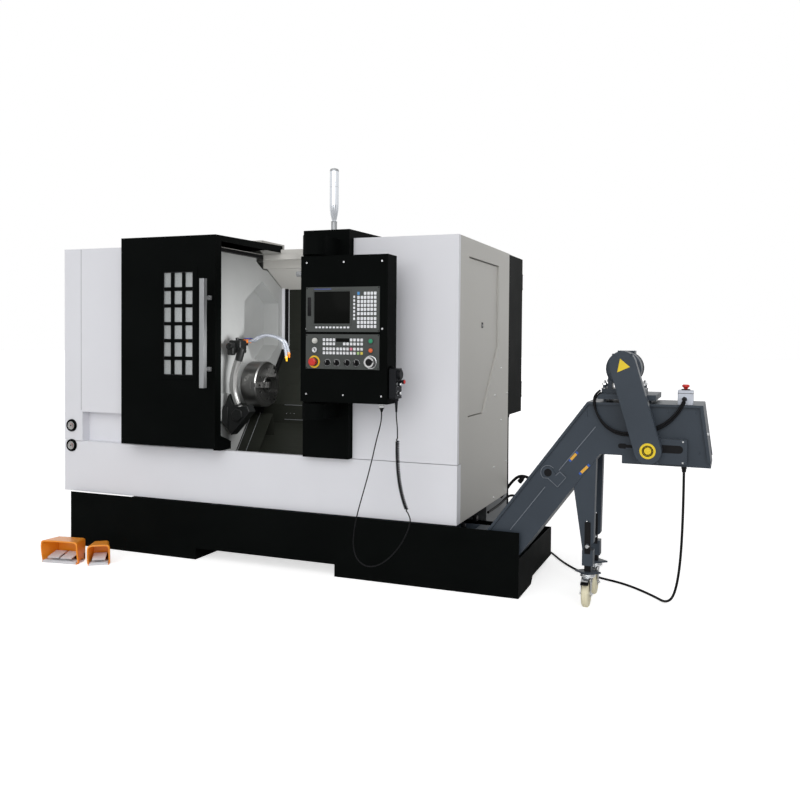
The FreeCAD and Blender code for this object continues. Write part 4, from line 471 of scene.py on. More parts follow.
def addTube(bm, points, radius, sides=16, steps=6):
    line = smoothLine([Vector(p) for p in points], steps)
    side = (line[1] - line[0]).orthogonal().normalized()
    rings = []
    for i, spot in enumerate(line):
        along = (line[min(i + 1, len(line) - 1)] - line[max(i - 1, 0)]).normalized()
        side = (side - along * side.dot(along)).normalized()
        other = along.cross(side)
        rings.append([bm.verts.new(spot + (side * math.cos(a) + other * math.sin(a)) * radius)
                      for a in (2 * math.pi * k / sides for k in range(sides))])
    faces = [bm.faces.new(rings[0][::-1]), bm.faces.new(rings[-1])]
    for low, high in zip(rings, rings[1:]):
        for i in range(sides):
            j = (i + 1) % sides
            faces.append(bm.faces.new([low[i], low[j], high[j], high[i]]))
    bmesh.ops.recalc_face_normals(bm, faces=faces)


def band(start, stop, half):
    (x0, z0), (x1, z1) = start, stop
    along = Vector((x1 - x0, z1 - z0)).normalized()
    side = Vector((-along.y, along.x)) * half
    return [(x0 + side.x, z0 + side.y), (x1 + side.x, z1 + side.y), (x1 - side.x, z1 - side.y),
            (x0 - side.x, z0 - side.y)]


def finishPiece(name, bm, body, slot, finish=None, bevel=0.0, instead=None):
    mesh = bpy.data.meshes.new(name)
    bm.to_mesh(mesh)
    bm.free()
    mesh.transform(placing)
    mesh.materials.append(finish or finishes[slot])
    mesh.shade_smooth()
    mesh.set_sharp_from_angle(angle=sharpAngle)
    obj = bpy.data.objects.new(name, mesh)
    bpy.context.scene.collection.objects.link(obj)
    if bevel:
        trim = obj.modifiers.new("softEdges", "BEVEL")
        trim.width, trim.segments, trim.limit_method = bevel / 1000, 2, "ANGLE"
        trim.harden_normals = False
    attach(obj, body)
    if instead:
        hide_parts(instead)
    return obj


def makePiece(name, body, slot, *shapes, place=None, **settings):
    bm = bmesh.new()
    for shape in shapes:
        shape(bm)
    if place:
        bmesh.ops.transform(bm, matrix=place, verts=bm.verts)
    return finishPiece(name, bm, body, slot, **settings)


def shaped(build):
    return lambda *sizes, **settings: lambda bm: build(bm, *sizes, **settings)


block, turned, plate, tube = (shaped(build) for build in (addBlock, addTurned, addPlate, addTube))


# trees of geometry nodes for what repeats

def newTree(name, sizes):
    tree = bpy.data.node_groups.new(name, "GeometryNodeTree")
    tree.interface.new_socket("Geometry", in_out="INPUT", socket_type="NodeSocketGeometry")
    for label, value in sizes.items():
        kind = {float: "Float", int: "Int", tuple: "Vector", type(None): "Material"}[type(value)]
        socket = tree.interface.new_socket(label, in_out="INPUT", socket_type="NodeSocket" + kind)
        if value is not None:
            socket.default_value = value
    tree.interface.new_socket("Geometry", in_out="OUTPUT", socket_type="NodeSocketGeometry")
    return tree, tree.nodes.new("NodeGroupInput").outputs


def endTree(tree, shape, points, turn, finish):
    spread = grow(tree, "GeometryNodeInstanceOnPoints", {"Points": points, "Instance": shape, "Rotation": turn})
    solid = grow(tree, "GeometryNodeRealizeInstances", {"Geometry": spread.outputs[0]})
    dressed = grow(tree, "GeometryNodeSetMaterial", {"Geometry": solid.outputs[0], "Material": finish})
    tree.nodes.new("NodeGroupOutput")
    tree.links.new(dressed.outputs[0], tree.nodes[-1].inputs[0])
    return tree


def screwTree():
    tree, takes = newTree("screwHeads", {"Head radius": 0.004, "Head height": 0.002, "Socket": 0.45, "Sides": 16,
                                         "Turn": (0.0, 0.0, 0.0), "Finish": None})
    ring = grow(tree, "GeometryNodeMeshCircle", {"Vertices": takes["Sides"], "Radius": takes["Head radius"]},
                fill_type="NGON")
    rise = grow(tree, "GeometryNodeExtrudeMesh", {"Mesh": ring.outputs[0], "Offset Scale": takes["Head height"]})
    crown = grow(tree, "GeometryNodeScaleElements", {"Geometry": rise.outputs["Mesh"],
        "Selection": rise.outputs["Top"], "Scale": 0.86})
    rim = grow(tree, "GeometryNodeExtrudeMesh", {"Mesh": crown.outputs[0], "Selection": rise.outputs["Top"],
                                                 "Offset Scale": 0.0})
    inner = grow(tree, "GeometryNodeScaleElements", {"Geometry": rim.outputs["Mesh"], "Selection": rim.outputs["Top"],
                                                     "Scale": takes["Socket"]})
    down = maths(tree, "MULTIPLY", takes["Head height"], -0.7)
    hole = grow(tree, "GeometryNodeExtrudeMesh", {"Mesh": inner.outputs[0], "Selection": rim.outputs["Top"],
                                                  "Offset Scale": down.outputs[0]})
    return endTree(tree, hole.outputs["Mesh"], takes["Geometry"], takes["Turn"], takes["Finish"])


def padTree():
    tree, takes = newTree("roundedPads", {"Width": 0.012, "Height": 0.012, "Corner": 0.002, "Proud": 0.0012,
                                          "Taper": 0.9, "Turn": (0.0, 0.0, 0.0), "Finish": None})
    frameLine = grow(tree, "GeometryNodeCurvePrimitiveQuadrilateral",
        {"Width": takes["Width"], "Height": takes["Height"]})
    soft = grow(tree, "GeometryNodeFilletCurve", {"Curve": frameLine.outputs[0], "Radius": takes["Corner"],
        "Count": 3}, mode="POLY")
    face = grow(tree, "GeometryNodeFillCurve", {"Curve": soft.outputs[0]}, mode="NGONS")
    rise = grow(tree, "GeometryNodeExtrudeMesh", {"Mesh": face.outputs[0], "Offset Scale": takes["Proud"]})
    crown = grow(tree, "GeometryNodeScaleElements", {"Geometry": rise.outputs["Mesh"],
        "Selection": rise.outputs["Top"], "Scale": takes["Taper"]})
    return endTree(tree, crown.outputs[0], takes["Geometry"], takes["Turn"], takes["Finish"])


def ribTree():
    tree, takes = newTree("ribs", {"Size": (0.01, 0.01, 0.01), "Turn": (0.0, 0.0, 0.0), "Finish": None})
    block = grow(tree, "GeometryNodeMeshCube", {"Size": takes["Size"]})
    return endTree(tree, block.outputs[0], takes["Geometry"], takes["Turn"], takes["Finish"])


def tickTree():
    tree, takes = newTree("dialTicks", {"Count": 12, "Radius": 0.02, "Start": 0.0, "Sweep": 6.2832,
                                        "Size": (0.003, 0.0006, 0.0003), "Finish": None})
    line = grow(tree, "GeometryNodeMeshLine", {"Count": takes["Count"], "Offset": (0.0, 0.0, 0.0)}, mode="OFFSET")
    number = grow(tree, "GeometryNodeInputIndex")
    last = maths(tree, "SUBTRACT", takes["Count"], 1.0)
    share = maths(tree, "DIVIDE", number.outputs[0], last.outputs[0])
    angle = maths(tree, "MULTIPLY_ADD", share.outputs[0], takes["Sweep"], takes["Start"])
    turn = grow(tree, "ShaderNodeCombineXYZ", {"Z": angle.outputs[0]})
    out = grow(tree, "ShaderNodeCombineXYZ", {"X": takes["Radius"]})
    place = grow(tree, "FunctionNodeEulerToRotation", {0: turn.outputs[0]})
    spot = grow(tree, "FunctionNodeRotateVector", {"Vector": out.outputs[0], "Rotation": place.outputs[0]})
    ring = grow(tree, "GeometryNodeSetPosition", {"Geometry": line.outputs[0], "Offset": spot.outputs[0]})
    mark = grow(tree, "GeometryNodeMeshCube", {"Size": takes["Size"]})
    return endTree(tree, mark.outputs[0], ring.outputs[0], place.outputs[0], takes["Finish"])


def hoseTree():
    tree, takes = newTree("hoseJoints", {"Pitch": 0.012, "Radius": 0.008, "Waist": 0.0062, "Finish": None})
    line = grow(tree, "GeometryNodeMeshToCurve", {"Mesh": takes["Geometry"]})
    spots = grow(tree, "GeometryNodeCurveToPoints", {"Curve": line.outputs[0], "Length": takes["Pitch"]},
        mode="LENGTH")
    long = maths(tree, "MULTIPLY", takes["Pitch"], 0.8)
    bead = grow(tree, "GeometryNodeMeshCone", {"Vertices": 18, "Side Segments": 2, "Radius Top": takes["Waist"],
                                               "Radius Bottom": takes["Radius"], "Depth": long.outputs[0]})
    core = grow(tree, "GeometryNodeMeshUVSphere", {"Segments": 18, "Rings": 8, "Radius": takes["Waist"]})
    both = grow(tree, "GeometryNodeJoinGeometry")
    tree.links.new(bead.outputs[0], both.inputs[0])
    tree.links.new(core.outputs[0], both.inputs[0])
    return endTree(tree, both.outputs[0], spots.outputs["Points"], spots.outputs["Rotation"], takes["Finish"])


trees = {"screw": screwTree(), "pad": padTree(), "rib": ribTree(), "tick": tickTree(), "hose": hoseTree()}


def spread(name, tree, points, sizes, body, slot, finish=None, edges=(), local=None, instead=None):
    mesh = bpy.data.meshes.new(name)
    mesh.from_pydata([local @ Vector(p) if local else at(*p) for p in points], list(edges), [])
    host = bpy.data.objects.new(name, mesh)
    bpy.context.scene.collection.objects.link(host)
    maker = host.modifiers.new("maker", "NODES")
    maker.node_group = trees[tree]
    for socket in trees[tree].interface.items_tree:
        if socket.in_out == "INPUT" and socket.name in sizes:
            maker[socket.identifier] = sizes[socket.name]
        elif socket.in_out == "INPUT" and socket.name == "Finish":
            maker[socket.identifier] = finish or finishes[slot]
    bpy.context.view_layer.update()
    made = bpy.data.meshes.new_from_object(host.evaluated_get(bpy.context.evaluated_depsgraph_get()))
    bpy.data.objects.remove(host)
    if local and tree == "tick":
        made.transform(local)
    made.name = name
    made.shade_smooth()
    made.set_sharp_from_angle(angle=sharpAngle)
    obj = bpy.data.objects.new(name, made)
    bpy.context.scene.collection.objects.link(obj)
    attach(obj, body)
    if instead:
        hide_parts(instead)
    return obj


toFront = (math.pi / 2, 0.0, 0.0)       # an upright tree turned to face the operator
toRight = (0.0, math.pi / 2, 0.0)
toRear = (-math.pi / 2, 0.0, 0.0)
toTop = (0.0, 0.0, 0.0)


def screws(name, places, radius, height, body, slot, turn=toFront, socket=0.45, sides=16, finish=None):
    return spread(name, "screw", places, {"Head radius": radius / 1000, "Head height": height / 1000, "Socket": socket,
                                          "Sides": sides, "Turn": turn}, body, slot, finish)


def ticks(name, sizes, body, slot, **settings):
    return spread(name, "tick", [(0, 0, 0)], sizes, body, slot, **settings)


def frontFrame(x, y, z):
    return Matrix.Translation(at(x, y, z)) @ Matrix.Rotation(math.pi / 2, 4, "X")


# cord of the hand unit

handCord = {"radius": 3.0, "y": -900.0,
            "lead": [(1024, 909), (1024, 884), (1028, 853), (1031, 822)],
            "curlTop": (1031.0, 791.0), "drop": 383.0, "swing": 62.0, "curls": 40, "curlRadius": 7.5, "perCurl": 12,
            "tail": [(1103, 366), (1091, 327), (1064, 270), (1022, 212), (966, 158), (905, 127), (848, 130),
                     (808, 166),
                     (792, 226), (797, 300), (815, 388), (842, 480), (872, 580), (897, 676), (917, 762), (934, 822),
                     (945, 868), (945, 908)]}


def curlPoint(turns):
    spec = handCord
    opened, closed = min(turns, 1.0), min(spec["curls"] - turns, 1.0)
    stretch = turns - 2.0 * ((1 - opened) ** 2 - (1 - closed) ** 2)
    share = (stretch + 2.0) / (spec["curls"] + 4.0)
    point = Vector((spec["curlTop"][0] + spec["swing"] * share ** 3, spec["y"],
        spec["curlTop"][1] - spec["drop"] * share))
    along = Vector((3 * spec["swing"] * share ** 2, 0, -spec["drop"])).normalized()
    opening = min(opened, closed)
    hull = 1 / (0.75 + 0.25 * math.cos(2 * math.pi / spec["perCurl"]))
    radius = spec["curlRadius"] * hull * (3 * opening ** 2 - 2 * opening ** 3)
    angle = 2 * math.pi * turns
    side = along.cross(Vector((0, 1, 0)))
    return point + side * (radius * math.cos(angle)) + Vector((0, radius * math.sin(angle), 0))


def makeHandCord():
    spec = handCord
    points = [Vector((x, spec["y"], z)) for x, z in spec["lead"]]
    points += [curlPoint(i / spec["perCurl"]) for i in range(spec["curls"] * spec["perCurl"] + 1)]
    along = Vector((3 * spec["swing"], 0, -spec["drop"])).normalized()
    begin = points[-1] + along * 2 * spec["radius"]
    points += [begin, begin + along * 16] + [Vector((x, spec["y"], z)) for x, z in spec["tail"]]
    cord = makeCord("handUnitCord", points, spec["radius"], 3, 3)
    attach(cord, "pendant")
    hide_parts("hand_cord", "hand_cord_curl")


makeHandCord()
print("cord hung")


# control pendant

panel = {"face": -955.0,
         "softKeys": {"x": (607, 785), "count": 10, "z": 1324, "size": (13, 9)},
         "sideKeys": {"x": 817.5, "z": (1475, 1367), "count": 7, "size": (10, 12)},
         "letterKeys": {"x": (840.5, 859.5, 876.5, 895, 912.5, 931), "size": (13.5, 15),
                        "z": (1492, 1472, 1452, 1433, 1413, 1392, 1368, 1349, 1329)},
         "lowerKeys": {"x": (651, 670, 688, 706.5, 727.5, 746, 764, 782.5, 802, 820.5, 840.5, 859.5),
                       "z": (1262, 1242, 1217, 1196.5), "size": (13.5, 14)},
         "lampsBelow": 1230}


def evenly(low, high, count):
    return [low + (high - low) * i / (count - 1) for i in range(count)]


def makeKeys():
    face = panel["face"]
    pale = makeFinish("keyPale", (0.86, 0.87, 0.90), 0.4, grain=2500.0, depth=0.00002)
    tones = {"blue": makeFinish("keyBlue", (0.09, 0.3, 0.62), 0.4),
        "pink": makeFinish("keyPink", (0.75, 0.22, 0.3), 0.4), "yellow": makeFinish("keyYellow", (0.75, 0.62, 0.1),
        0.4), "lime": makeFinish("keyLime", (0.4, 0.6, 0.25), 0.4)}
    soft, side, letters, lower = (panel[k] for k in ("softKeys", "sideKeys", "letterKeys", "lowerKeys"))

    def pads(name, places, size, finish, proud=1.4):
        spread(name, "pad", places, {"Width": size[0] / 1000, "Height": size[1] / 1000, "Corner": 0.0022,
            "Proud": proud / 1000, "Turn": toFront}, "pendant", "panel_film", finish=finish)
    pads("softKeys", [(x, face, soft["z"]) for x in evenly(*soft["x"], soft["count"])], soft["size"], pale)
    pads("sideKeys", [(side["x"], face, z) for z in evenly(*side["z"], side["count"])], side["size"], pale)
    grid = [(x, face, z) for z in letters["z"] for x in letters["x"]]
    pads("letterKeys", [p for i, p in enumerate(grid) if i not in (0, 1)], letters["size"], pale)
    pads("letterKeyBlue", [grid[0]], letters["size"], tones["blue"])
    # the lower board's first row ends after four keys and starts again at the ninth
    rows = {0: (0, 1, 2, 3, 8, 9, 10, 11), 1: (0, 1, 2, 3, 6, 7, 8, 9, 10, 11), 2: range(12), 3: range(12)}
    special = {(2, 8): "pink", (3, 11): "yellow", (3, 10): "lime"}
    plain = [(lower["x"][c], face, lower["z"][r]) for r, cols in rows.items() for c in cols if (r, c) not in special]
    pads("lowerKeys", plain, lower["size"], pale)
    for (r, c), tone in special.items():
        pads("lowerKey_" + tone, [(lower["x"][c], face, lower["z"][r])], lower["size"], tones[tone])
    # small status lamps in the corner of each key of the lower rows
    lamps = [(x + 4.5, face - 1.4, z + 4.6) for x, _, z in plain if z < panel["lampsBelow"]]
    spread("keyLamps", "pad", lamps, {"Width": 0.0022, "Height": 0.0022, "Corner": 0.0008, "Proud": 0.0004,
        "Turn": toFront}, "pendant", "panel_film", finish=makeFinish("keyLamp", (0.2, 0.02, 0.02), 0.3))
    # a small dark bar on every key
    bars = [(x, face - 1.45, z + 1.5) for x, _, z in plain + grid[2:]]
    spread("keyLegends", "pad", bars, {"Width": 0.0048, "Height": 0.0010, "Corner": 0.0003, "Proud": 0.0002,
        "Turn": toFront}, "pendant", "panel_film")


def makeScreen():
    face = panel["face"]
    bm = bmesh.new()
    # bezel round the recessed screen, with a sloping inner edge
    outer = (583, 803, 1333, 1514)
    inner = (592, 794, 1342, 1505)
    loops = [(outer, face), (tuple(v + d for v, d in zip(outer, (2, -2, 2, -2))), face - 2.5),
             (tuple(v + d for v, d in zip(inner, (-3, 3, -3, 3))), face - 2.5), (inner, face + 2.5)]
    rings = [[bm.verts.new((x, y, z)) for x, z in ((a, c), (b, c), (b, d), (a, d))] for (a, b, c, d), y in loops]
    faces = []
    for low, high in zip(rings, rings[1:]):
        for i in range(4):
            faces.append(bm.faces.new([low[i], low[(i + 1) % 4], high[(i + 1) % 4], high[i]]))
    bmesh.ops.recalc_face_normals(bm, faces=faces)
    finishPiece("screenBezel", bm, "pendant", "panel_film")
    bm = bmesh.new()
    addBlock(bm, 588, 798, face + 2.2, face + 3.9, 1338, 1509, 0.3)
    glass = makeFinish("screenGlass", (0.0055, 0.006, 0.0055), 0.16, shade=0.02, depth=0.000001, index=1.25,
        gloss=0.08, edge=0.0)
    finishPiece("screenPane", bm, "pendant", "panel_film", finish=glass)
    makePiece("headStrip", "pendant", "panel_film", block(594, 690, face - 0.8, face + 0.2, 1511, 1517.5, 0.5),
        finish=makeFinish("stripBlue", (0.05, 0.08, 0.3), 0.35))
    makePiece("readoutWindow", "pendant", "panel_film", block(718, 792, face - 0.8, face + 0.2, 1252, 1270, 0.5),
        finish=glass)
    makePiece("cardCover", "pendant", "knob_black", block(557, 577, face - 1.5, face + 1.2, 1381, 1475, 2.0),
        block(560, 563, face - 2.6, face - 1.0, 1420, 1440, 0.6))


controls = {"stop": (597, 1151), "button": (600, 1257), "key": (600, 1211),
            "collars": (("startCollar", 910, 1257), ("holdCollar", 910, 1211)), "selectorZ": 1148, "gripRibs": 25,
            "selectors": ((671, 16, 5.2), (722, 16, 5.2), (780, 6, 2.4), (831, 8, 3.4)), "wheel": (908, 1153),
            "wheelTicks": 51, "wheelRibs": 61}


def makeControls():
    c = controls
    face, middle = panel["face"], c["selectorZ"]
    (stopX, stopZ), (buttonX, buttonZ), (keyX, keyZ), wheel = (c[k] for k in ("stop", "button", "key", "wheel"))
    yellow = makeFinish("stopYellow", (0.85, 0.55, 0.02), 0.35, depth=0.00002)
    makePiece("stopRing", "pendant", "key_orange", turned([(0, 22.5), (0, 31), (1.2, 31.5), (2.4, 30.5), (2.4, 23),
        (0, 22.5)], (stopX, face - 0.2, stopZ), frontward, 48), finish=yellow)
    makePiece("whiteButton", "pendant", "panel_film", turned([(0, 14.2), (6, 14.2), (8, 13.2), (8, 9.5), (12, 8.8),
        (14.5, 6), (15.2, 0)], (buttonX, face, buttonZ), frontward, 32),
        finish=makeFinish("buttonWhite", (0.7, 0.7, 0.66), 0.3, coat=0.3))
    makePiece("keySwitch", "pendant", "zinc", turned([(0, 15), (5, 15), (7.5, 13.5), (7.5, 8.5), (4, 8), (4, 0)],
        (keyX, face, keyZ), frontward, 32))
    makePiece("keySlot", "pendant", "knob_black", block(keyX - 1, keyX + 1, face - 6.5, face - 3.0, keyZ - 6,
        keyZ + 6, 0.3))
    for name, x, z in c["collars"]:
        makePiece(name, "pendant", "panel_film", turned([(0, 11.4), (0, 15.5), (2.5, 15.5), (4, 14), (4, 11.4),
            (0, 11.4)], (x, face, z), frontward, 32))
    mark = makeFinish("markWhite", (0.75, 0.75, 0.75), 0.5)
    for number, (x, count, sweep) in enumerate(c["selectors"], 1):
        ticks("selectorScale_%d" % number, {"Count": count, "Radius": 0.0185, "Sweep": sweep,
            "Start": math.pi / 2 - sweep / 2, "Size": (0.0034, 0.0008, 0.0003)}, "pendant", "panel_film", finish=mark,
            local=frontFrame(x, face - 0.15, middle))
        makePiece("selectorPointer_%d" % number, "selector_%d" % number, "knob_black",
            block(x - 0.8, x + 0.8, face - 20.3, face - 19.7, middle + 1, middle + 12, 0.1), finish=mark)
        makePiece("selectorRing_%d" % number, "pendant", "panel_film",
            turned([(0, 15.2), (0, 17.4), (0.5, 17.2), (0.5, 15.4), (0, 15.2)], (x, face, middle), frontward, 40),
            finish=finishes["satin_aluminium"])
        ticks("selectorGrip_%d" % number, {"Count": c["gripRibs"], "Radius": 0.0137, "Size": (0.0014, 0.0012, 0.007)},
            "selector_%d" % number, "knob_black", local=frontFrame(x, face - 5.5, middle))
    ticks("wheelTicks", {"Count": c["wheelTicks"], "Radius": 0.0235, "Size": (0.0028, 0.0006, 0.0003)},
        "panel_handwheel", "machined_steel", finish=finishes["knob_black"],
        local=frontFrame(wheel[0], face - 22.1, wheel[1]))
    ticks("wheelKnurl", {"Count": c["wheelRibs"], "Radius": 0.0268, "Size": (0.0012, 0.0014, 0.012)},
        "panel_handwheel", "machined_steel", local=frontFrame(wheel[0], face - 10.5, wheel[1]))
    makePiece("wheelCollar", "pendant", "zinc", turned([(0, 28), (0, 33), (1.5, 33), (3, 31), (3, 28), (0, 28)],
        (wheel[0], face, wheel[1]), frontward, 48))
    makePiece("wheelFace", "panel_handwheel", "machined_steel", turned([(0, 0), (0, 26.2), (0.8, 26.4), (1.0, 25.6),
        (0.5, 20), (0.5, 0)], (wheel[0], face - 21.4, wheel[1]), frontward, 48),
        finish=makeFinish("wheelSilver", (0.62, 0.62, 0.62), 0.34, metal=0.4))
    makePiece("wheelHub", "panel_handwheel", "knob_black", turned([(0, 9), (1.2, 9), (2, 8), (2, 0)],
        (wheel[0], face - 21.8, wheel[1]), frontward, 32))


def makePendantTrim():
    front = -950
    corner = [(x, front, z) for x in (549, 757, 965) for z in (1649, 987)]
    screws("pendantScrews", corner, 5.4, 3.0, "pendant", "zinc")
    unit = [(x, panel["face"], z) for x in (553.5, 948.5) for z in (1519.5, 1307.5, 1284.5, 1121.5)]
    screws("unitScrews", unit, 3.0, 1.6, "pendant", "knob_black")
    side = [(549, front, 1317), (968, front, 1318)]
    screws("sideScrews", side, 5.5, 3.0, "pendant", "zinc")
    # turned lip of the sheet round the face, and the seam of the rear cover
    makePiece("pendantLip", "pendant", "black_paint", *[block(x0, x1, -951.2, -949.5, z0, z1) for x0, x1, z0,
        z1 in ((516, 995, 1679.5, 1683), (516, 995, 948, 951.5), (516, 519.5, 948, 1683), (991.5, 995, 948, 1683))],
        bevel=0.8)
    # soft black hose gland and its metal nut under the pendant
    makePiece("glandNut", "pendant", "zinc", turned([(0, 13), (0, 13.6), (9, 13.6), (9, 15.2), (21, 15.2), (21, 11.5),
        (24, 11), (24, 0)], (945, -900, 948), (0, 0, -1), 6), bevel=0.6)
    makePiece("glandSleeve", "pendant", "knob_black", turned([(22, 8.6), (30, 8.2), (40, 5.2), (42, 4.2), (42, 3.2),
        (22, 3.2)], (945, -900, 948), (0, 0, -1), 24))


handUnit = {"x": 1036, "y": -900, "knobs": (1046, 1003), "stop": 1058, "dial": 1094, "dialTicks": 41,
            "seams": (977.5, 1000, 1100, 1121)}


def makeHandUnit():
    h = handUnit
    x, y = h["x"], h["y"]
    makePiece("handKnobCaps", "pendant", "zinc", *[made for z in h["knobs"]
        for made in (turned([(15, 6), (15.5, 9.4), (20, 9.4), (21.5, 8), (21.5, 0)], (x, y - 14, z), rightward, 24),
        turned([(0, 12), (2.4, 12), (2.4, 9.2), (0, 9.2)], (x, y - 14, z), rightward, 24))])
    makePiece("handStopCap", "pendant", "stop_red", turned([(24.5, 9.6), (27, 10.2), (29, 8.6), (30, 0)],
        (x, y + 12, h["stop"]), rightward, 24))
    ticks("handDialGrip", {"Count": h["dialTicks"], "Radius": 0.0228, "Size": (0.0012, 0.0014, 0.008)}, "pendant",
        "knob_black", local=Matrix.Translation(at(x + 10, y, h["dial"])) @ Matrix.Rotation(math.pi / 2, 4, "Y"))
    makePiece("handHolder", "pendant", "black_paint", block(998, 1002, y - 24, y + 24, 1036, 1126, 1.5),
        block(995.5, 1002, y - 20, y + 20, 1118, 1136, 1.5))
    makePiece("handSeams", "pendant", "knob_black", *[block(1000.5, 1036.4, y - 37.4, y + 37.4, z - 0.5, z + 0.5)
        for z in h["seams"]])


makeKeys()
makeScreen()
makeControls()
makePendantTrim()
makeHandUnit()
print("pendant dressed")


# work area: coolant lines, chuck, probe arm

hoseSpec = {"wallX": -310.0, "valveY": -270.0, "valveZ": 1250.0, "hoseX": -226.0}


def makeCoolant():
    s = hoseSpec
    blue = makeFinish("valveBlue", (0.02, 0.06, 0.4), 0.3, coat=0.3)
    orange = makeFinish("nozzleOrange", (0.85, 0.22, 0.02), 0.3, coat=0.3)
    amber = makeFinish("nozzleAmber", (0.85, 0.42, 0.02), 0.3, coat=0.3)
    makePiece("manifold", "machine", "knob_black", block(s["wallX"], s["wallX"] + 48, -300, -240, s["valveZ"] - 28,
        s["valveZ"] + 12, 3), instead="coolant_lines")
    for side, far, drop, name in ((-1, 32.0, 22.0, "front"), (1, 30.0, 0.0, "rear")):
        y = s["valveY"] + side * 16
        makePiece("valve_" + name, "machine", "coolant_hose", turned([(46, 0), (46, 11), (52, 11), (52, 9), (62, 9),
            (64, 12.5), (76, 12.5), (78, 9), (84, 9), (84, 0)], (s["wallX"], y, s["valveZ"]), rightward, 24),
            finish=orange, instead="coolant_lines")
        makePiece("valveHandle_" + name, "machine", "coolant_hose", turned([(0, 4), (16, 4), (16, 0)],
            (s["wallX"] + 70, y, s["valveZ"]), upward, 16), block(s["wallX"] + 50, s["wallX"] + 90, y - 5, y + 5,
            s["valveZ"] + 13, s["valveZ"] + 19, 2), finish=blue, instead="coolant_lines")
        x0, z0 = s["hoseX"], s["valveZ"]
        route = [(x0, y, z0), (x0 + 18, y, z0), (x0 + 46, y + 10, z0 + 22), (x0 + 88, y + 22, z0 + 38),
                 (x0 + 130, y + 36, z0 + 36), (x0 + 168 + far, y + 50, z0 + 12), (x0 + 188 + far, y + 58, z0 - 30),
                 (x0 + 194 + far, y + 61, z0 - 70 - drop)]
        line = smoothLine([Vector(p) for p in route], 8)
        spread("hose_" + name, "hose", line, {"Pitch": 0.0115, "Radius": 0.0104, "Waist": 0.0076}, "machine",
            "coolant_hose", edges=[(i, i + 1) for i in range(len(line) - 1)], instead="coolant_lines")
        end, before = Vector(route[-1]), Vector(route[-2])
        along = (end - before).normalized()
        makePiece("nozzle_" + name, "machine", "coolant_hose", turned([(-4, 0), (-4, 8), (0, 9.6), (10, 9.6), (14, 7),
            (30, 4.6), (30, 3), (20, 3), (20, 0)], end, along, 24), finish=orange if side > 0 else amber,
            instead="coolant_lines")


def around(x, radius, angle):
    angle = math.radians(angle)
    return (x, spindle["y"] + radius * math.cos(angle), spindle["z"] + radius * math.sin(angle))


chuckTrim = {"face": -117, "jaws": (180, 60, -60), "boltRing": 92, "boltTurns": (-30, 30), "jawBolts": (80, 112),
             "teeth": 26, "toothStart": 60, "toothPitch": 2.9, "toothSide": 16.2, "tooth": (0.7, 1.3, 4.2)}


def makeChuckDetail():
    t = chuckTrim
    face, dark = t["face"], finishes["knob_black"]
    # grooves turned in the chuck's face and round its edge
    makePiece("faceGrooves", "spindle", "machined_steel", *[turned([(0, radius - 0.5), (0.25, radius - 0.4),
        (0.25, radius + 0.4), (0, radius + 0.5)], (face, spindle["y"], spindle["z"]), rightward, 96)
        for radius in (52, 74, 104, 128)], finish=dark)
    makePiece("centreSleeve", "spindle", "machined_steel", turned([(0, 39), (0, 49), (3, 49.5), (6, 47.5), (6, 39)],
        (face, spindle["y"], spindle["z"]), rightward, 64))
    screws("faceBolts", [around(face - 11, t["boltRing"], a + o) for a in t["jaws"] for o in t["boltTurns"]], 6.5,
        8.0, "spindle", "machined_steel", finish=dark, turn=toRight, socket=0.55)
    for number, angle in enumerate(t["jaws"], 1):
        screws("jawBolts_%d" % number, [around(face + 9, r, angle) for r in t["jawBolts"]], 7.0, 9.0,
            "jaw_%d" % number, "machined_steel", finish=dark, turn=toRight, socket=0.55)
    bm = bmesh.new()
    # fine teeth on either side of each jaw slot
    for angle in t["jaws"]:
        turn = Matrix.Translation((0, spindle["y"], spindle["z"])) @ Matrix.Rotation(math.radians(angle), 4, "X")
        for side in (-1, 1):
            for i in range(t["teeth"]):
                r = t["toothStart"] + i * t["toothPitch"]
                made = bmesh.ops.create_cube(bm, size=1)["verts"]
                bmesh.ops.transform(bm, matrix=turn @ Matrix.Translation((face + 0.1, r, side * t["toothSide"]))
                                    @ Matrix.Diagonal((*t["tooth"], 1)), verts=made)
    finishPiece("jawTeeth", bm, "spindle", "machined_steel", finish=dark)


sealTrim = {"wall": -310.0, "back": 250.0, "lip": -41.0, "slope": 55.0, "post": (1204.0, 1640.0)}


def makeSeals():
    t = sealTrim
    x, back = t["wall"], t["back"]
    rise = math.tan(math.radians(t["slope"]))
    low, high = t["post"]
    # fold of the spindle wall, then the rubber strip against the back sheet; the fold and a thin line beyond the strip
    # are in white paint instead of the wall's inner paint, a painted highlight where light falls on them
    makePiece("wallFoldHighlight", "machine", "inner_paint", block(x + 0.5, x + 21, back - 14, back - 0.5, low - 8, high),
        block(x + 47, x + 51, back - 3.0, back - 0.3, low + 10, high), finish=finishes["white_paint"], bevel=0.8)
    # dark end sheet between the wall, the way cover and the lip, and the door rail under the roof
    makePiece("wallSeal", "machine", "black_paint", block(x + 21, x + 45, back - 8, back - 0.3, low, high),
        block(x + 42, x + 72, -690, -70, 1776, 1797), plate([(back, low), (back - 3, low + 8),
        (t["lip"] - 6, low + 8 - rise * (back - t["lip"] + 3)), (t["lip"], low - rise * (back - t["lip"]))], x + 1,
        x + 30, "YZ"), plate([(40, 930), (-30, 872), (-139, 806), (-148, 790), (-139, 700), (20, 700), (30, 885)],
        x + 0.6, x + 3.6, "YZ"), finish=finishes["cord_black"])
    makePiece("sheetRidges", "machine", "way_cover", *[plate([(-136, 794), (-140, 797), (-307, 566), (-303, 563)],
        start, start + 3, "YZ") for start in (x + 10, x + 72)], block(x + 170, 1000, -8.5, -3.0, 838, 842),
        block(x + 170, 1000, -8.5, -3.0, 744, 748), finish=finishes["slide_iron"], bevel=0.6)


probeArm = {"place": (-240, -395, 815)}


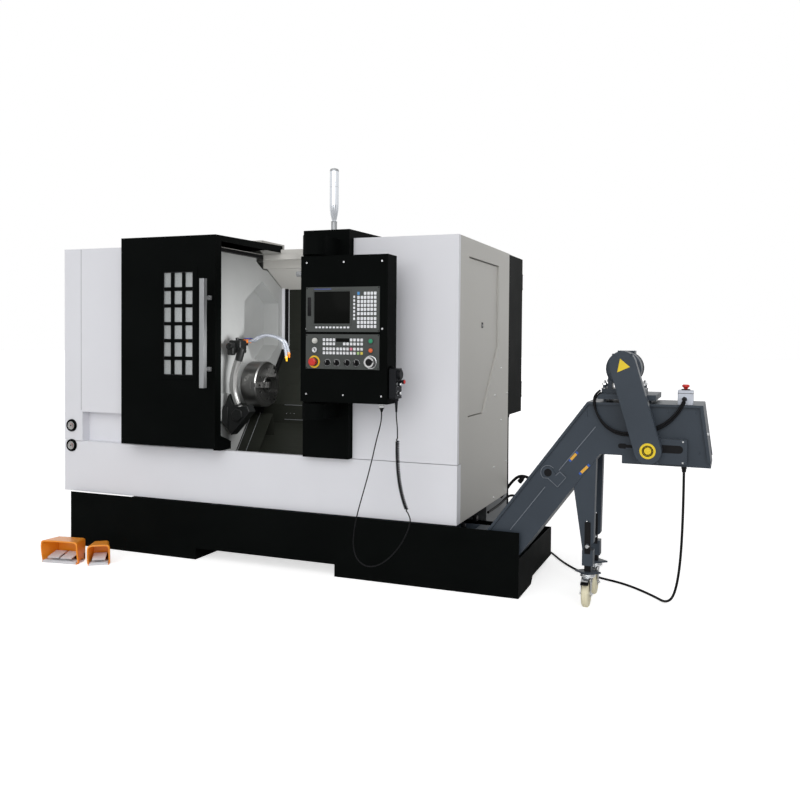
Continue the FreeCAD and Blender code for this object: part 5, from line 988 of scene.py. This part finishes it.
def makeProbeArm():
    dark = makeFinish("probeBlack", (0.010, 0.011, 0.011), 0.38, grain=1500.0, depth=0.00005, wear=0.15)
    x, y, z = probeArm["place"]
    # folded cover over the pivot, with its side plate and the seam between them
    makePiece("pivotCover", "setter_arm", "black_paint", plate([(-302, z - 52), (-302, z + 12), (-258, z + 118),
        (-232, z + 58), (-198, z + 42), (-134, z + 50), (-113, z + 14), (-178, z - 62), (-242, z - 130)], y - 58,
        y + 12), plate([(-304, z - 58), (-304, z + 16), (-290, z + 48), (-262, z + 40), (-262, z - 92)], y - 64,
        y - 57), turned([(0, 40), (6, 40), (9, 36), (9, 0)], (-198, y - 58, z - 8), frontward, 6), finish=dark,
        bevel=3.0, instead="setter_arm")
    makePiece("probeTube", "setter_arm", "setter_steel", tube([(x + 34, y - 26, z + 36), (x + 22, y - 34, z + 74),
        (x + 6, y - 38, z + 124), (x + 2, y - 40, z + 190), (x + 8, y - 38, z + 262), (x + 36, y - 30, z + 338)],
        20.5, 28, 20), instead="setter_arm")
    makePiece("probeSleeve", "setter_arm", "black_paint", turned([(0, 17), (0, 23), (74, 23), (80, 19), (80, 0)],
        (x + 31, y - 30, z + 318), (0.28, 0.05, 0.95), 24), turned([(0, 20.7), (0, 23), (14, 24), (14, 20.7)],
        (x + 30, y - 28, z + 44), (-0.3, -0.2, 0.93), 24), finish=dark, instead="setter_arm")
    makePiece("probeHead", "setter_arm", "black_paint", block(x - 30, x + 52, y - 44, y + 28, z + 362, z + 440, 9, 3),
        block(x - 26, x + 16, y - 66, y - 34, z + 350, z + 424, 6, 3),
        turned([(0, 14), (10, 14), (12, 20), (34, 20), (36, 16), (36, 0)], (x + 4, y - 58, z + 404), frontward, 24),
        turned([(0, 10), (18, 10), (20, 7), (20, 0)], (x + 4, y - 4, z + 436), upward, 20), finish=dark, bevel=0.8,
        instead="setter_arm")


makeCoolant()
makeChuckDetail()
makeSeals()
makeProbeArm()
print("work area dressed")

# sliding door

doorTrim = {"face": -800.0, "frame": (-476, -226, 1031, 1660), "pane": (-450, -259, 1060, 1632), "proud": 3.0,
            "barsX": (-395.5, -319.5), "barsZ": (1151, 1249.5, 1345.5, 1446, 1539.5), "barWide": 20.0,
            "handleX": -140.0, "standoffs": (1094.0, 1488.0), "handleZ": (993.0, 1590.0)}


def makeDoorTrim():
    d = doorTrim
    face, (x0, x1, z0, z1), (px0, px1, pz0, pz1) = d["face"], d["frame"], d["pane"]
    bm = bmesh.new()
    # frame of four strips, and the rubber lip inside it
    for a, b, c, e in ((x0, px0 - 5, z0, z1), (px1 + 5, x1, z0, z1), (px0 - 5, px1 + 5, z0, pz0 - 5),
                       (px0 - 5, px1 + 5, pz1 + 5, z1)):
        addBlock(bm, a, b, face - d["proud"], face + 0.4, c, e)
    half = d["barWide"] / 2
    for x in d["barsX"]:
        addBlock(bm, x - half, x + half, face - 1.0, face + 14, pz0, pz1)
    for z in d["barsZ"]:
        addBlock(bm, px0, px1, face - 0.6, face + 13, z - half, z + half)
    finishPiece("windowFrame", bm, "door", "black_paint", bevel=1.4)
    makePiece("windowGasket", "door", "black_paint", *[block(a, b, face - 1.2, face + 0.4, c, e) for a, b, c,
        e in ((px0 - 5, px0, pz0 - 5, pz1 + 5), (px1, px1 + 5, pz0 - 5, pz1 + 5), (px0, px1, pz0 - 5, pz0),
        (px0, px1, pz1, pz1 + 5))], finish=finishes["cord_black"], bevel=0.8)
    bm = bmesh.new()
    for z in d["handleZ"]:
        away = 1 if z > 1200 else -1
        addBlock(bm, d["handleX"] - 14.2, d["handleX"] + 14.2, -879.2, -850.8, min(z, z + away * 2.5),
            max(z, z + away * 2.5))
    finishPiece("handleCaps", bm, "door", "satin_aluminium", finish=finishes["knob_black"], bevel=0.6)
    makePiece("handleFeet", "door", "satin_aluminium", *[block(d["handleX"] - 11, d["handleX"] + 12, face - 12,
        face - 0.2, z - 12, z + 12, 2) for z in d["standoffs"]])
    screws("doorScrews", [(-109.5, -776, z) for z in (1800, 1500, 1200, 900, 700)], 5.0, 1.6, "door", "black_paint",
        finish=finishes["knob_black"], turn=toRight)
    # black brush along the door's rear edge, towards the panels behind it
    makePiece("doorBrush", "door", "black_paint", block(-750, -112, -745.2, -739, 690, 694),
        block(-750, -746, -745.2, -739, 694, 1790), finish=finishes["cord_black"])


makeDoorTrim()
print("door dressed")


# cabinet: gauges, latch, small screws, lamp and seams

cabinetTrim = {"gauges": ((-1219.0, 725.0), (-1219.0, 603.0)), "front": -700.0, "right": 1275.0,
               "sideScrews": ((105, 1104), (-20, 947), (246, 946), (113, 791), (239, 528), (-28, 527), (242, 349),
                              (-31, 350)),
               "latch": (1264.0, -254.0, 1351.0), "lamp": (58.0, -200.0, 1664.0), "rear": 626}


def makeGauges():
    front = cabinetTrim["front"]
    white = makeFinish("dialWhite", (0.36, 0.35, 0.34), 0.3, depth=0.000005, coat=0.6)
    red = makeFinish("dialRed", (0.6, 0.03, 0.02), 0.4)
    for number, (x, z) in enumerate(cabinetTrim["gauges"], 1):
        makePiece("gaugeBezel_%d" % number, "machine", "knob_black",
            turned([(0, 0), (0, 38), (4, 38), (9.5, 36), (11.5, 33), (11.5, 26), (9.2, 24.5), (8.2, 24), (8.2, 18)],
            (x, front, z), frontward, 56), finish=finishes["black_paint"], instead="pressure_gauges")
        makePiece("gaugeRing_%d" % number, "machine", "zinc", turned([(8.0, 24.6), (9.7, 24.6), (9.9, 23.8),
            (9.0, 23.2)], (x, front, z), frontward, 56), instead="pressure_gauges")
        makePiece("gaugeDial_%d" % number, "machine", "box_grey", turned([(7.4, 23.6), (9.1, 23.6), (9.1, 0)],
            (x, front, z), frontward, 56), finish=white, instead="pressure_gauges")
        ticks("gaugeTicks_%d" % number, {"Count": 21, "Radius": 0.0195, "Start": -math.pi / 4, "Sweep": 1.5 * math.pi,
            "Size": (0.0042, 0.0009, 0.0003)}, "machine", "knob_black", local=frontFrame(x, front - 9.2, z),
            instead="pressure_gauges")
        ticks("gaugeArc_%d" % number, {"Count": 34, "Radius": 0.0145, "Start": -math.pi / 4, "Sweep": 0.6 * math.pi,
            "Size": (0.0034, 0.0016, 0.0002)}, "machine", "stop_red", finish=red, local=frontFrame(x, front - 9.2, z),
            instead="pressure_gauges")
        bm = bmesh.new()
        lean = math.radians(128 - 40 * number)
        tip, tail = 17.0, 7.0
        addPlate(bm, [(x + tip * math.cos(lean), z + tip * math.sin(lean)),
                      (x - 1.8 * math.sin(lean), z + 1.8 * math.cos(lean)),
                      (x - tail * math.cos(lean), z - tail * math.sin(lean)),
                      (x + 1.8 * math.sin(lean), z - 1.8 * math.cos(lean))], front - 10.4, front - 9.8)
        finishPiece("gaugeNeedle_%d" % number, bm, "machine", "stop_red", finish=red, instead="pressure_gauges")
        makePiece("gaugePin_%d" % number, "machine", "knob_black", turned([(9.1, 4.2), (11, 4.2), (11.3, 0)],
            (x, front, z), frontward, 20), instead="pressure_gauges")


def makeCabinetTrim():
    c = cabinetTrim
    right = c["right"]
    makePiece("pillarSeam", "machine", "white_paint", block(-1147, -1144.6, c["front"] - 0.4, c["front"] + 0.2, 822,
        1797), finish=makeFinish("seamGrey", (0.30, 0.30, 0.31), 0.6))
    # floor strip of the recess, which closes the seam under its rear sheet
    makePiece("recessFloor", "machine", "white_paint", block(-1139, -838, -698, -640.5, 630.2, 633.6))
    x, y, z = c["latch"]
    # square flush latch with a key barrel in its well
    makePiece("sideLatch", "side_door", "grey_paint", *[block(x - 0.4, x + 2.2, y + y0, y + y1, z + z0, z + z1)
        for y0, y1, z0, z1 in ((-13, -9.5, -15, 15), (9.5, 13, -15, 15), (-9.5, 9.5, -15, -11.5),
        (-9.5, 9.5, 11.5, 15))], block(x - 0.4, x + 0.4, y - 10, y + 10, z - 12, z + 12),
        finish=finishes["knob_black"], bevel=0.5)
    makePiece("sideLatchPlate", "side_door", "grey_paint", block(x + 0.3, x + 1.6, y - 5, y + 5, z - 8, z + 4, 0.4),
        finish=finishes["zinc"])
    screws("sideScrews", [(right, y, z) for y, z in c["sideScrews"]], 6.0, 2.6, "machine", "zinc", turn=toRight)
    x, y, z = c["lamp"]
    makePiece("lampTube", "machine", "satin_aluminium", turned([(0, 0), (0, 14), (3, 17), (30, 17), (30, 15.5),
        (300, 15.5), (300, 17), (330, 17), (330, 0)], (x, y, z), rightward, 28),
        *[made for hang in (x + 60, x + 240) for made in (turned([(0, 17.2), (0, 20), (14, 20), (14, 17.2)],
        (hang, y, z), rightward, 28), block(hang + 2, hang + 12, y - 3, y + 3, z + 18, z + 60))])
    makePiece("lampPlug", "machine", "knob_black", turned([(-1.5, 0), (-1.5, 8), (0.5, 9), (0.5, 0)], (x, y, z),
        rightward, 24))
    screws("lipScrews", [(x, -5, 785) for x in (-125, -98, -71)], 4.5, 2.2, "machine", "zinc")
    # bar hole trim in the left cover
    makePiece("barHoleRim", "machine", "knob_black", turned([(0, 60.5), (0, 72), (2.5, 72), (4, 70), (4, 60.5),
        (0, 60.5)], (-right, spindle["y"], spindle["z"]), (-1, 0, 0), 64))
    screws("barHoleScrews", [(-right - 2.5, spindle["y"] + 66 * math.cos(a), spindle["z"] + 66 * math.sin(a))
        for a in (math.pi / 4 + i * math.pi / 2 for i in range(4))], 3.4, 1.8, "machine", "zinc",
        turn=(0.0, -math.pi / 2, 0.0))
    # rear cabinet: louvre slats, latch levers and door screws
    rear = c["rear"]
    slats = [(x, rear + 1.0, 900 + i * 14) for x in (520, 1040) for i in range(14)]
    spread("rearSlats", "rib", slats, {"Size": (0.19, 0.003, 0.006)}, "cabinet_door", "black_paint")
    screws("rearDoorScrews", [(x, rear, z) for x in (330, 1235) for z in (850, 1150, 1450, 1760)], 6.0, 2.4,
        "cabinet_door", "zinc", turn=toRear)
    makePiece("rearLatches", "cabinet_door", "knob_black", *[made for z in (1035, 1335, 1635)
        for made in (block(327, 341, rear - 0.5, rear + 2.0, z - 26, z + 26, 0.8),
        turned([(0, 9), (3, 9), (3.6, 8), (3.6, 0)], (334, rear, z + 14), (0, 1, 0), 20))], bevel=0.5)


towerTrim = {"place": (519.0, -600.0, 1847.2), "steps": 72, "flutes": 12,
             "drum": ((60, 10.5, 0.6), (72, 12.0, 1.0), (96, 17.0, 1.5), (122, 21.5, 1.4), (146, 24.0, 0.6),
                      (152, 24.7, 0.0), (244, 24.7, 0.0), (244.8, 24.1, 0.0), (247.2, 24.1, 0.0), (248, 24.7, 0.0),
                      (326, 24.7, 0.0), (334, 24.0, 0.0))}


def makeTowerLight():
    t = towerTrim
    (x, y, low), steps = t["place"], t["steps"]
    makePiece("towerFoot", "machine", "satin_aluminium", turned([(0, 0), (0, 34), (4, 34), (6, 32), (6, 17), (8, 16),
        (58, 16), (60, 18), (60, 0)], (x, y, low), upward, 40), instead="tower_light")
    screws("towerScrews", [(x + 26 * math.cos(a), y + 26 * math.sin(a), low + 6) for a in (0.6, 2.7, 4.8)], 3.6, 2.0,
        "machine", "zinc", turn=toTop)
    bm = bmesh.new()
    rings = []
    # one clear drum: fluted foot that widens, plain upper part, two faint joints
    for z0, r, flute in t["drum"]:
        turns = [2 * math.pi * i / steps for i in range(steps)]
        rings.append([bm.verts.new((x + (r + flute * math.cos(t["flutes"] * a)) * math.cos(a),
            y + (r + flute * math.cos(t["flutes"] * a)) * math.sin(a), low + z0)) for a in turns])
    for first, last in zip(rings, rings[1:]):
        for i in range(steps):
            j = (i + 1) % steps
            bm.faces.new([first[i], first[j], last[j], last[i]])
    bm.faces.new(rings[0][::-1])
    bm.faces.new(rings[-1])
    finishPiece("towerLens", bm, "machine", "lamp_clear", instead="tower_light")
    makePiece("towerCap", "machine", "satin_aluminium", turned([(334, 0), (334, 24.9), (340, 24.4), (346, 21),
        (350, 10), (350, 0)], (x, y, low), upward, 48), instead="tower_light")


makeGauges()
makeCabinetTrim()
makeTowerLight()
print("cabinet dressed")


# chip conveyor: guard, cables, motor, leg slots and casters

conveyorTrim = {"front": -700.0, "guardFace": -805.0, "guardLow": (2219.0, 770.0),
                "triangle": ((2091, 1188), (2136, 1150), (2079, 1124)), "cableY": -722.0,
                "cable": ((2370, 1003), (2358, 978), (2339, 945), (2301, 903), (2257, 874), (2190, 848), (2117, 837),
                          (2063, 844), (2008, 876), (1973, 930), (1960, 979), (1966, 1016), (1992, 1036)),
                "stickers": (((1845, 688), (1884, 734)), ((1894, 628), (1941, 677))), "stickerWide": 13.0,
                "ridge": (((1556, 331), (1728, 556)), ((1795, 641), (1968, 860))),
                "lug": (1742.0, 627.0), "lugEdge": ((0, -27), (48, -67), (88, -18), (58, 8), (38, -12)),
                "legX": 1936.0, "legZ": 256.0, "legY": (-672.0, -455.0), "slotZ": 775, "fins": 15,
                "slots": ((2250, 2369, 18, -732.0), (2074, 2166, 12, -700.0)),
                "motor": (2093.0, 1138.0), "motorY": (-630.0, -502.0), "wheelR": 62.0, "trail": 42.0}


def makeGuardTrim():
    c = conveyorTrim
    face, (lowX, lowZ) = c["guardFace"], c["guardLow"]
    yellow = makeFinish("signYellow", (0.86, 0.62, 0.02), 0.4, depth=0.00001)
    makePiece("yellowPatch", "machine", "key_orange", plate(c["triangle"], face - 0.8, face + 0.2), finish=yellow,
        bevel=0.3)
    makePiece("turnRing", "machine", "key_orange", turned([(-0.2, 20.4), (0.8, 20.6), (0.8, 35.5), (-0.2, 36)],
        (lowX, face, lowZ), frontward, 64), finish=yellow)
    makePiece("turnRingLine", "machine", "knob_black", turned([(0.7, 21.5), (1.1, 21.5), (1.1, 25.5), (0.7, 25.5)],
        (lowX, face, lowZ), frontward, 64))
    makePiece("shaftCap", "machine", "key_orange", turned([(0, 17), (44, 17), (46, 15.5), (46, 0)],
        (lowX, face + 48, lowZ), frontward, 40), finish=yellow)
    blue = makeFinish("stripeBlue", (0.03, 0.10, 0.42), 0.4)
    orange = makeFinish("stripeOrange", (0.80, 0.42, 0.05), 0.4)
    wide = c["stickerWide"]
    for number, ((x0, z0), (x1, z1)) in enumerate(c["stickers"], 1):
        along = Vector((x1 - x0, z1 - z0)).normalized()
        side = Vector((-along.y, along.x)) * wide / 2
        for part, a, b, finish in (("low", 0.0, 0.16, blue), ("mid", 0.18, 0.82, orange), ("top", 0.84, 1.0, blue)):
            first = Vector((x0, z0)).lerp(Vector((x1, z1)), a)
            last = Vector((x0, z0)).lerp(Vector((x1, z1)), b)
            makePiece("stripe_%d_%s" % (number, part), "machine", "key_orange",
                plate([tuple(first + side), tuple(last + side), tuple(last - side), tuple(first - side)],
                c["front"] - 0.7, c["front"] + 0.2), finish=finish)
    screws("guardBolts", [(x, face, z) for x, z in ((2060, 1205), (2142, 1205), (2178, 716), (2262, 716))], 5.5, 3.0,
        "machine", "conveyor_paint")


def makeConveyorCables():
    c = conveyorTrim
    makePiece("boxCables", "machine", "cord_black", *[tube([(x + lift * 0.3, c["cableY"] + deep, z - lift) for x,
        z in c["cable"]], 5.0, 14, 6) for lift, deep in ((0, 0), (11, 6))])
    makePiece("boxGland", "machine", "knob_black", turned([(0, 12.5), (4, 12.5), (4, 11), (10, 11), (12, 9), (22, 8),
        (22, 0)], (2370, -708, 1004), frontward, 6), bevel=0.5)
    # hoses between the rear of the cabinet and the tank
    makePiece("rearHoses", "machine", "cord_black", tube([(1225, 312, 286), (1262, 302, 340), (1296, 300, 388),
        (1340, 300, 430), (1392, 300, 430), (1445, 298, 396), (1478, 296, 330), (1488, 294, 215)], 9, 16, 8),
        tube([(1252, -60, 266), (1256, 80, 268), (1260, 200, 274), (1264, 272, 288), (1288, 300, 306),
        (1324, 303, 304), (1358, 303, 270), (1370, 302, 205)], 7.5, 16, 8))
    makePiece("rearFittings", "machine", "knob_black", turned([(0, 12), (0, 15), (30, 15), (34, 12), (44, 11),
        (44, 0)], (1345, 300, 391), (0.6, 0, 0.8), 20), *[block(1246, 1268, y0, y1, 270, 300, 1.5) for y0,
        y1 in ((-340, -305), (-545, -522))])


def makeConveyorTrim():
    c = conveyorTrim
    front = c["front"]
    dark = finishes["knob_black"]
    # lighter copy of the conveyor paint: painted highlight along the side plate's ridges and the lug's edge
    pale = makeFinish("foldHighlight", (0.17, 0.19, 0.22), 0.35, shade=0.12, gloss=0.3)
    makePiece("sidePlateRidge", "machine", "conveyor_paint", *[plate(band(start, stop, 2.2), front - 3.0, front + 0.2)
        for start, stop in c["ridge"]], finish=pale, bevel=0.9)
    bm = bmesh.new()
    # painted highlight line along the lower half of the lifting lug's edge
    lx, lz = c["lug"]
    eye = [(35 * math.cos(math.radians(a)), 35 * math.sin(math.radians(a))) for a in range(40, 231, 10)]
    edge = [(lx + a, lz + b) for a, b in eye + list(c["lugEdge"])]
    for start, stop in zip(edge, edge[1:]):
        addPlate(bm, band(start, stop, 1.5), front - 5.6, front - 4.6)
    finishPiece("lugHighlightLine", bm, "machine", "conveyor_paint", finish=pale)
    # weld seam at the knee
    makePiece("sidePlateFold", "machine", "conveyor_paint", block(1926, 1930, front - 2.0, front + 0.2, 905, 972),
        bevel=1.2)
    # black disc over the lug's eye: painted shade of the hole
    makePiece("lugHoleShade", "machine", "knob_black", turned([(4.8, 0), (4.8, 19), (5.6, 19), (5.6, 0)], (lx, front, lz),
        frontward, 40))
    screws("headBolt", [(2470, -690, 846)], 8.0, 10.0, "machine", "zinc", turn=toRight, sides=6)
    screws("tensionBolts", [(2178, -732, 715), (2178, -732, 811), (2368, -732, 715), (2368, -732, 811)], 5.0, 3.0,
        "machine", "zinc")
    screws("headScrews", [(x, front, z) for x, z in ((2120, 945), (2300, 945), (2420, 945), (2440, 760))], 4.5, 2.0,
        "machine", "conveyor_paint")
    # plate with the screw adjuster, left of the guard
    makePiece("slotRims", "machine", "conveyor_paint", block(2110, 2150, front - 4, front + 0.2, 760, 768),
        block(2110, 2150, front - 4, front + 0.2, 783, 791), bevel=0.8)
    bm = bmesh.new()
    # openings of the two adjuster slots, dark inside
    for x0, x1, half, y in c["slots"]:
        ends = [(x1 - half + half * math.cos(a), c["slotZ"] + half * math.sin(a))
                for a in (math.pi / 2 - math.pi * i / 10 for i in range(11))]
        ends += [(x0 + half - half * math.cos(a), c["slotZ"] - half * math.sin(a))
                 for a in (math.pi / 2 - math.pi * i / 10 for i in range(11))]
        addPlate(bm, ends, y - 0.7, y + 0.4)
    finishPiece("slotShadows", bm, "machine", "black_paint", finish=finishes["cord_black"])
    mx, mz = c["motor"]
    y0, y1 = c["motorY"]
    bm = bmesh.new()
    for i in range(c["fins"]):
        y = y0 + 4 + (y1 - y0 - 8) * i / (c["fins"] - 1)
        addTurned(bm, [(0, 60), (0, 77), (2.4, 77), (2.4, 60), (0, 60)], (mx, y, mz), (0, 1, 0), 48)
    finishPiece("motorFins", bm, "machine", "conveyor_paint", finish=finishes["motor_paint"])
    ticks("fanSlots", {"Count": 25, "Radius": 0.042, "Size": (0.03, 0.0035, 0.0006)}, "machine", "knob_black",
        local=Matrix.Translation(at(mx, -439.6, mz)) @ Matrix.Rotation(-math.pi / 2, 4, "X"))
    feet = [(mx + s * 88, y, 1060) for s in (-1, 1) for y in (-676, -570)]
    screws("motorNuts", feet, 13.0, 9.0, "machine", "zinc", turn=toTop, socket=0.6, sides=6)
    makePiece("motorStuds", "machine", "zinc", *[made for x, y, z in feet
        for made in (turned([(0, 5.5), (20, 5.5), (21, 4.5), (21, 0)], (x, y, z), upward, 20),
        turned([(-17.5, 9.2), (-17.5, 17), (-15, 17), (-15, 9.2)], (x, y, z), upward, 24))])
    screws("terminalScrews", [(mx + s * 33, y, mz + 84) for s in (-1, 1) for y in (-592, -533)], 3.4, 2.0, "machine",
        "zinc", turn=toTop)
    # lid of the stop box and the collar under its button
    makePiece("boxLidSeam", "machine", "box_grey", block(2338.4, 2407.6, -694.6, -625.4, 1029, 1031, 0.4), finish=dark)
    makePiece("boxCollar", "machine", "knob_black", turned([(0, 12.6), (0, 21), (3, 21), (5, 18), (5, 12.6)],
        (2373, -660, 1044), upward, 32))
    screws("boxScrews", [(2345 + a * 56, -688 + b * 56, 1044) for a in (0, 1) for b in (0, 1)], 3.2, 1.2, "machine",
        "zinc", turn=toTop)


def makeCasterTrim():
    c = conveyorTrim
    x, z0 = c["legX"], c["legZ"]
    dark = finishes["knob_black"]
    # black blocks over the slots of the legs: painted shade inside them
    makePiece("legSlotShade", "machine", "black_paint", *[block(x - 14, x + 14, y - 27, y - 14, z0 - 8, z0 + 144)
        for y in c["legY"]], finish=finishes["cord_black"])
    screws("legBolts", [(x, y - 34, z0 + 30) for y in c["legY"]], 11.0, 8.0, "machine", "zinc", sides=6, socket=0.4)
    makePiece("legPosts", "machine", "black_paint", *[block(x - 15.8, x + 15.8, y - 16.4, y - 15.6, 160, z0 - 60)
        for y in c["legY"]], finish=finishes["cord_black"])
    for place, y in zip(("front", "rear"), c["legY"]):
        wy, r = y - c["trail"], c["wheelR"]
        # double ball race under the plate
        makePiece("forkPlates_" + place, "fork_" + place, "zinc", turned([(151.6, 0), (151.6, 33), (149, 36),
            (145, 36), (143, 33), (141, 36), (137, 37), (134, 33), (134, 0)], (x, y, 0), upward, 40),
            *[made for side in (-1, 1) for made in (turned([(0, 0), (0, 11), (6, 11), (7, 9), (7, 0)],
            (x + side * 19.5, wy, r), (side, 0, 0), 6), turned([(7, 5), (12, 5), (13, 4), (13, 0)],
            (x + side * 19.5, wy, r), (side, 0, 0), 16), plate([(wy - 17, r + 14), (wy + 17, r + 14), (wy + 24, 128),
            (wy + 58, 138), (wy - 8, 138), (wy - 26, 120)], x + side * 21.2, x + side * 23.6, "YZ"))], bevel=0.8)
        # brake pedal with a turned-up end, over the wheel
        makePiece("brakePedal_" + place, "fork_" + place, "zinc", plate([(wy - 66, 118), (wy - 66, 123),
            (wy - 40, 133), (wy + 6, 140), (wy + 6, 135), (wy - 38, 128)], x - 19, x + 19, "YZ"),
            plate([(wy + 58, 96), (wy + 74, 84), (wy + 78, 88), (wy + 62, 102)], x - 14, x + 14, "YZ"), finish=dark,
            bevel=0.8)
        makePiece("wheelHub_" + place, "wheel_" + place, "nylon_cream",
            *[made for side in (-1, 1) for made in (turned([(15.8, 8), (17.2, 8), (17.2, 17), (15.8, 19)], (x, wy, r),
            (side, 0, 0), 32), turned([(15.8, 44), (16.8, 45), (16.8, 47), (15.8, 48)], (x, wy, r), (side, 0, 0),
            56))])
        makePiece("wheelSeam_" + place, "wheel_" + place, "nylon_cream",
            turned([(-1.0, 61.6), (-1.0, 62.0), (1.0, 62.0), (1.0, 61.6)], (x, wy, r), rightward, 64),
            finish=makeFinish("creamDark_" + place, (0.55, 0.49, 0.33), 0.5))


powerCable = {"radius": 6.0, "start": (2371.0, -678.0, 667.7), "end": (1240.0, 402.0, 781.7),
              "floor": ((2371, -678, 423), (2353, -640, 150), (2310, -560, 6), (2210, -430, 6), (2070, -298, 6),
                        (1927, -236, 6), (1831, -180, 6), (1745, -90, 6), (1658, 34, 6), (1573, 187, 6),
                        (1465, 315, 6),
                        (1335, 385, 6), (1262, 400, 40), (1240, 402, 130))}


def makePowerCable():
    spec = powerCable
    points = [spec["start"], *spec["floor"], spec["end"]]
    cable = makeCord("conveyorCable", points, spec["radius"], 12, 4)
    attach(cable, "machine")
    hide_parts("power_cable")
    makePiece("cableGlands", "machine", "knob_black", *[turned([(25.3, 13), (14, 13), (14, 11), (0.3, 10.5), (-2, 8),
        (-2, 6.3)], (x, y, z), upward, 6) for x, y, z in (spec["start"], spec["end"])], bevel=0.6)


pedalSpec = {"guards": (("left", (-1050.0, -1100.0, 8.0, 230.0, 125.0), 74.0),
                        ("right", (-1050.0, -1100.0, 8.0, 230.0, 125.0), 156.0),
                        ("single", (-755.0, -1065.0, 35.0, 118.0, 112.0), 59.0)),
              "half": 35.0, "pin": (84.0, 34.0), "front": (4.0, 27.0), "rear": (84.0, 47.0), "thick": 5.0, "ribs": 9}


def makeFootSwitches():
    spec = pedalSpec
    dark = finishes["knob_black"]
    (fy, fz), (ry, rz), half = spec["front"], spec["rear"], spec["half"]
    along = Vector((0, ry - fy, rz - fz)).normalized()
    up = Vector((0, -along.z, along.y))
    for name, (gx, gy, turn, wide, high), middle in spec["guards"]:
        place = Matrix.Translation((gx, gy, 0)) @ Matrix.Rotation(math.radians(turn), 4, "Z")
        bm = bmesh.new()
        outline = [(fy, fz), (fy - 2, fz + 3), (fy + 2, fz + spec["thick"] + 1), (ry - 4, rz + spec["thick"]),
            (ry, rz), (ry - 12, rz - 2.6)]
        addPlate(bm, outline, middle - half, middle + half, "YZ")
        length = (Vector((0, ry, rz)) - Vector((0, fy, fz))).length
        for i in range(spec["ribs"]):
            spot = Vector((middle, fy, fz)) + along * (8 + (length - 18) * i / (spec["ribs"] - 1)) + up * spec["thick"]
            made = bmesh.ops.create_cube(bm, size=1)["verts"]
            bmesh.ops.transform(bm, matrix=Matrix.Translation(spot) @ Matrix.Rotation(math.atan2(along.z, along.y), 4,
                "X") @ Matrix.Diagonal((2 * half - 8, 3.2, 2.6, 1)), verts=made)
        bmesh.ops.transform(bm, matrix=place, verts=bm.verts)
        pedal = finishPiece("pedalPlate_" + name, bm, "pedal_" + name, "pedal_grey", bevel=0.7)
        bm = bmesh.new()
        py, pz = spec["pin"]
        addTurned(bm, [(-20, 4.6), (-20, 8), (20, 8), (20, 4.6)], (middle, py, pz), rightward, 20)
        addBlock(bm, middle - 20, middle + 20, py - 8, py + 5, pz + 5.6, rz - 1)
        addPlate(bm, [(30, 30), (30, 33), (68, 41.8), (68, 36)], middle - 24, middle - 20, "YZ")
        addPlate(bm, [(30, 30), (30, 33), (68, 41.8), (68, 36)], middle + 20, middle + 24, "YZ")
        bmesh.ops.transform(bm, matrix=place, verts=bm.verts)
        hub = finishPiece("pedalHub_" + name, bm, "pedal_" + name, "pedal_grey", finish=dark)
        for piece in (pedal, hub):
            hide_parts("foot_pedal_" + name)
        if name == "right":
            continue
        # ribbed base plate, switch body behind the treadles, bead round the mouth
        makePiece("basePlate_" + name, "machine", "pedal_grey", block(9, wide - 9, -1, 74, 0.5, 12),
            *[block(14, wide - 14, 5 + i * 8, 8.5 + i * 8, 11.5, 14.2) for i in range(6)], bevel=0.6, place=place)
        makePiece("switchBody_" + name, "machine", "knob_black", block(24, wide - 24, 96, 105, 9, 40, 2),
            *[turned([(12, 0), (12, 5), (15, 5), (16, 3.6), (16, 0)], (side, 66, 0), upward, 16)
            for side in (16, wide - 16)], place=place)
        bm = bmesh.new()
        rim = [(3, 8), (2.5, high * 0.5), (3, high - 20), (8, high - 8), (20, high - 3), (wide / 2, high - 2.5),
            (wide - 20, high - 3), (wide - 8, high - 8), (wide - 3, high - 20), (wide - 2.5, high * 0.5),
            (wide - 3, 8)]
        lean = 16.0
        addTube(bm, [(a, max(0.0, lean * (1 - b / (high * 0.55))) + 1.0, b) for a, b in rim], 4.6, 12, 5)
        bmesh.ops.transform(bm, matrix=place, verts=bm.verts)
        finishPiece("hoodBead_" + name, bm, "machine", "guard_orange")


makeFootSwitches()
print("foot switches dressed")

makeGuardTrim()
makeConveyorCables()
makeConveyorTrim()
makeCasterTrim()
makePowerCable()
print("conveyor dressed")
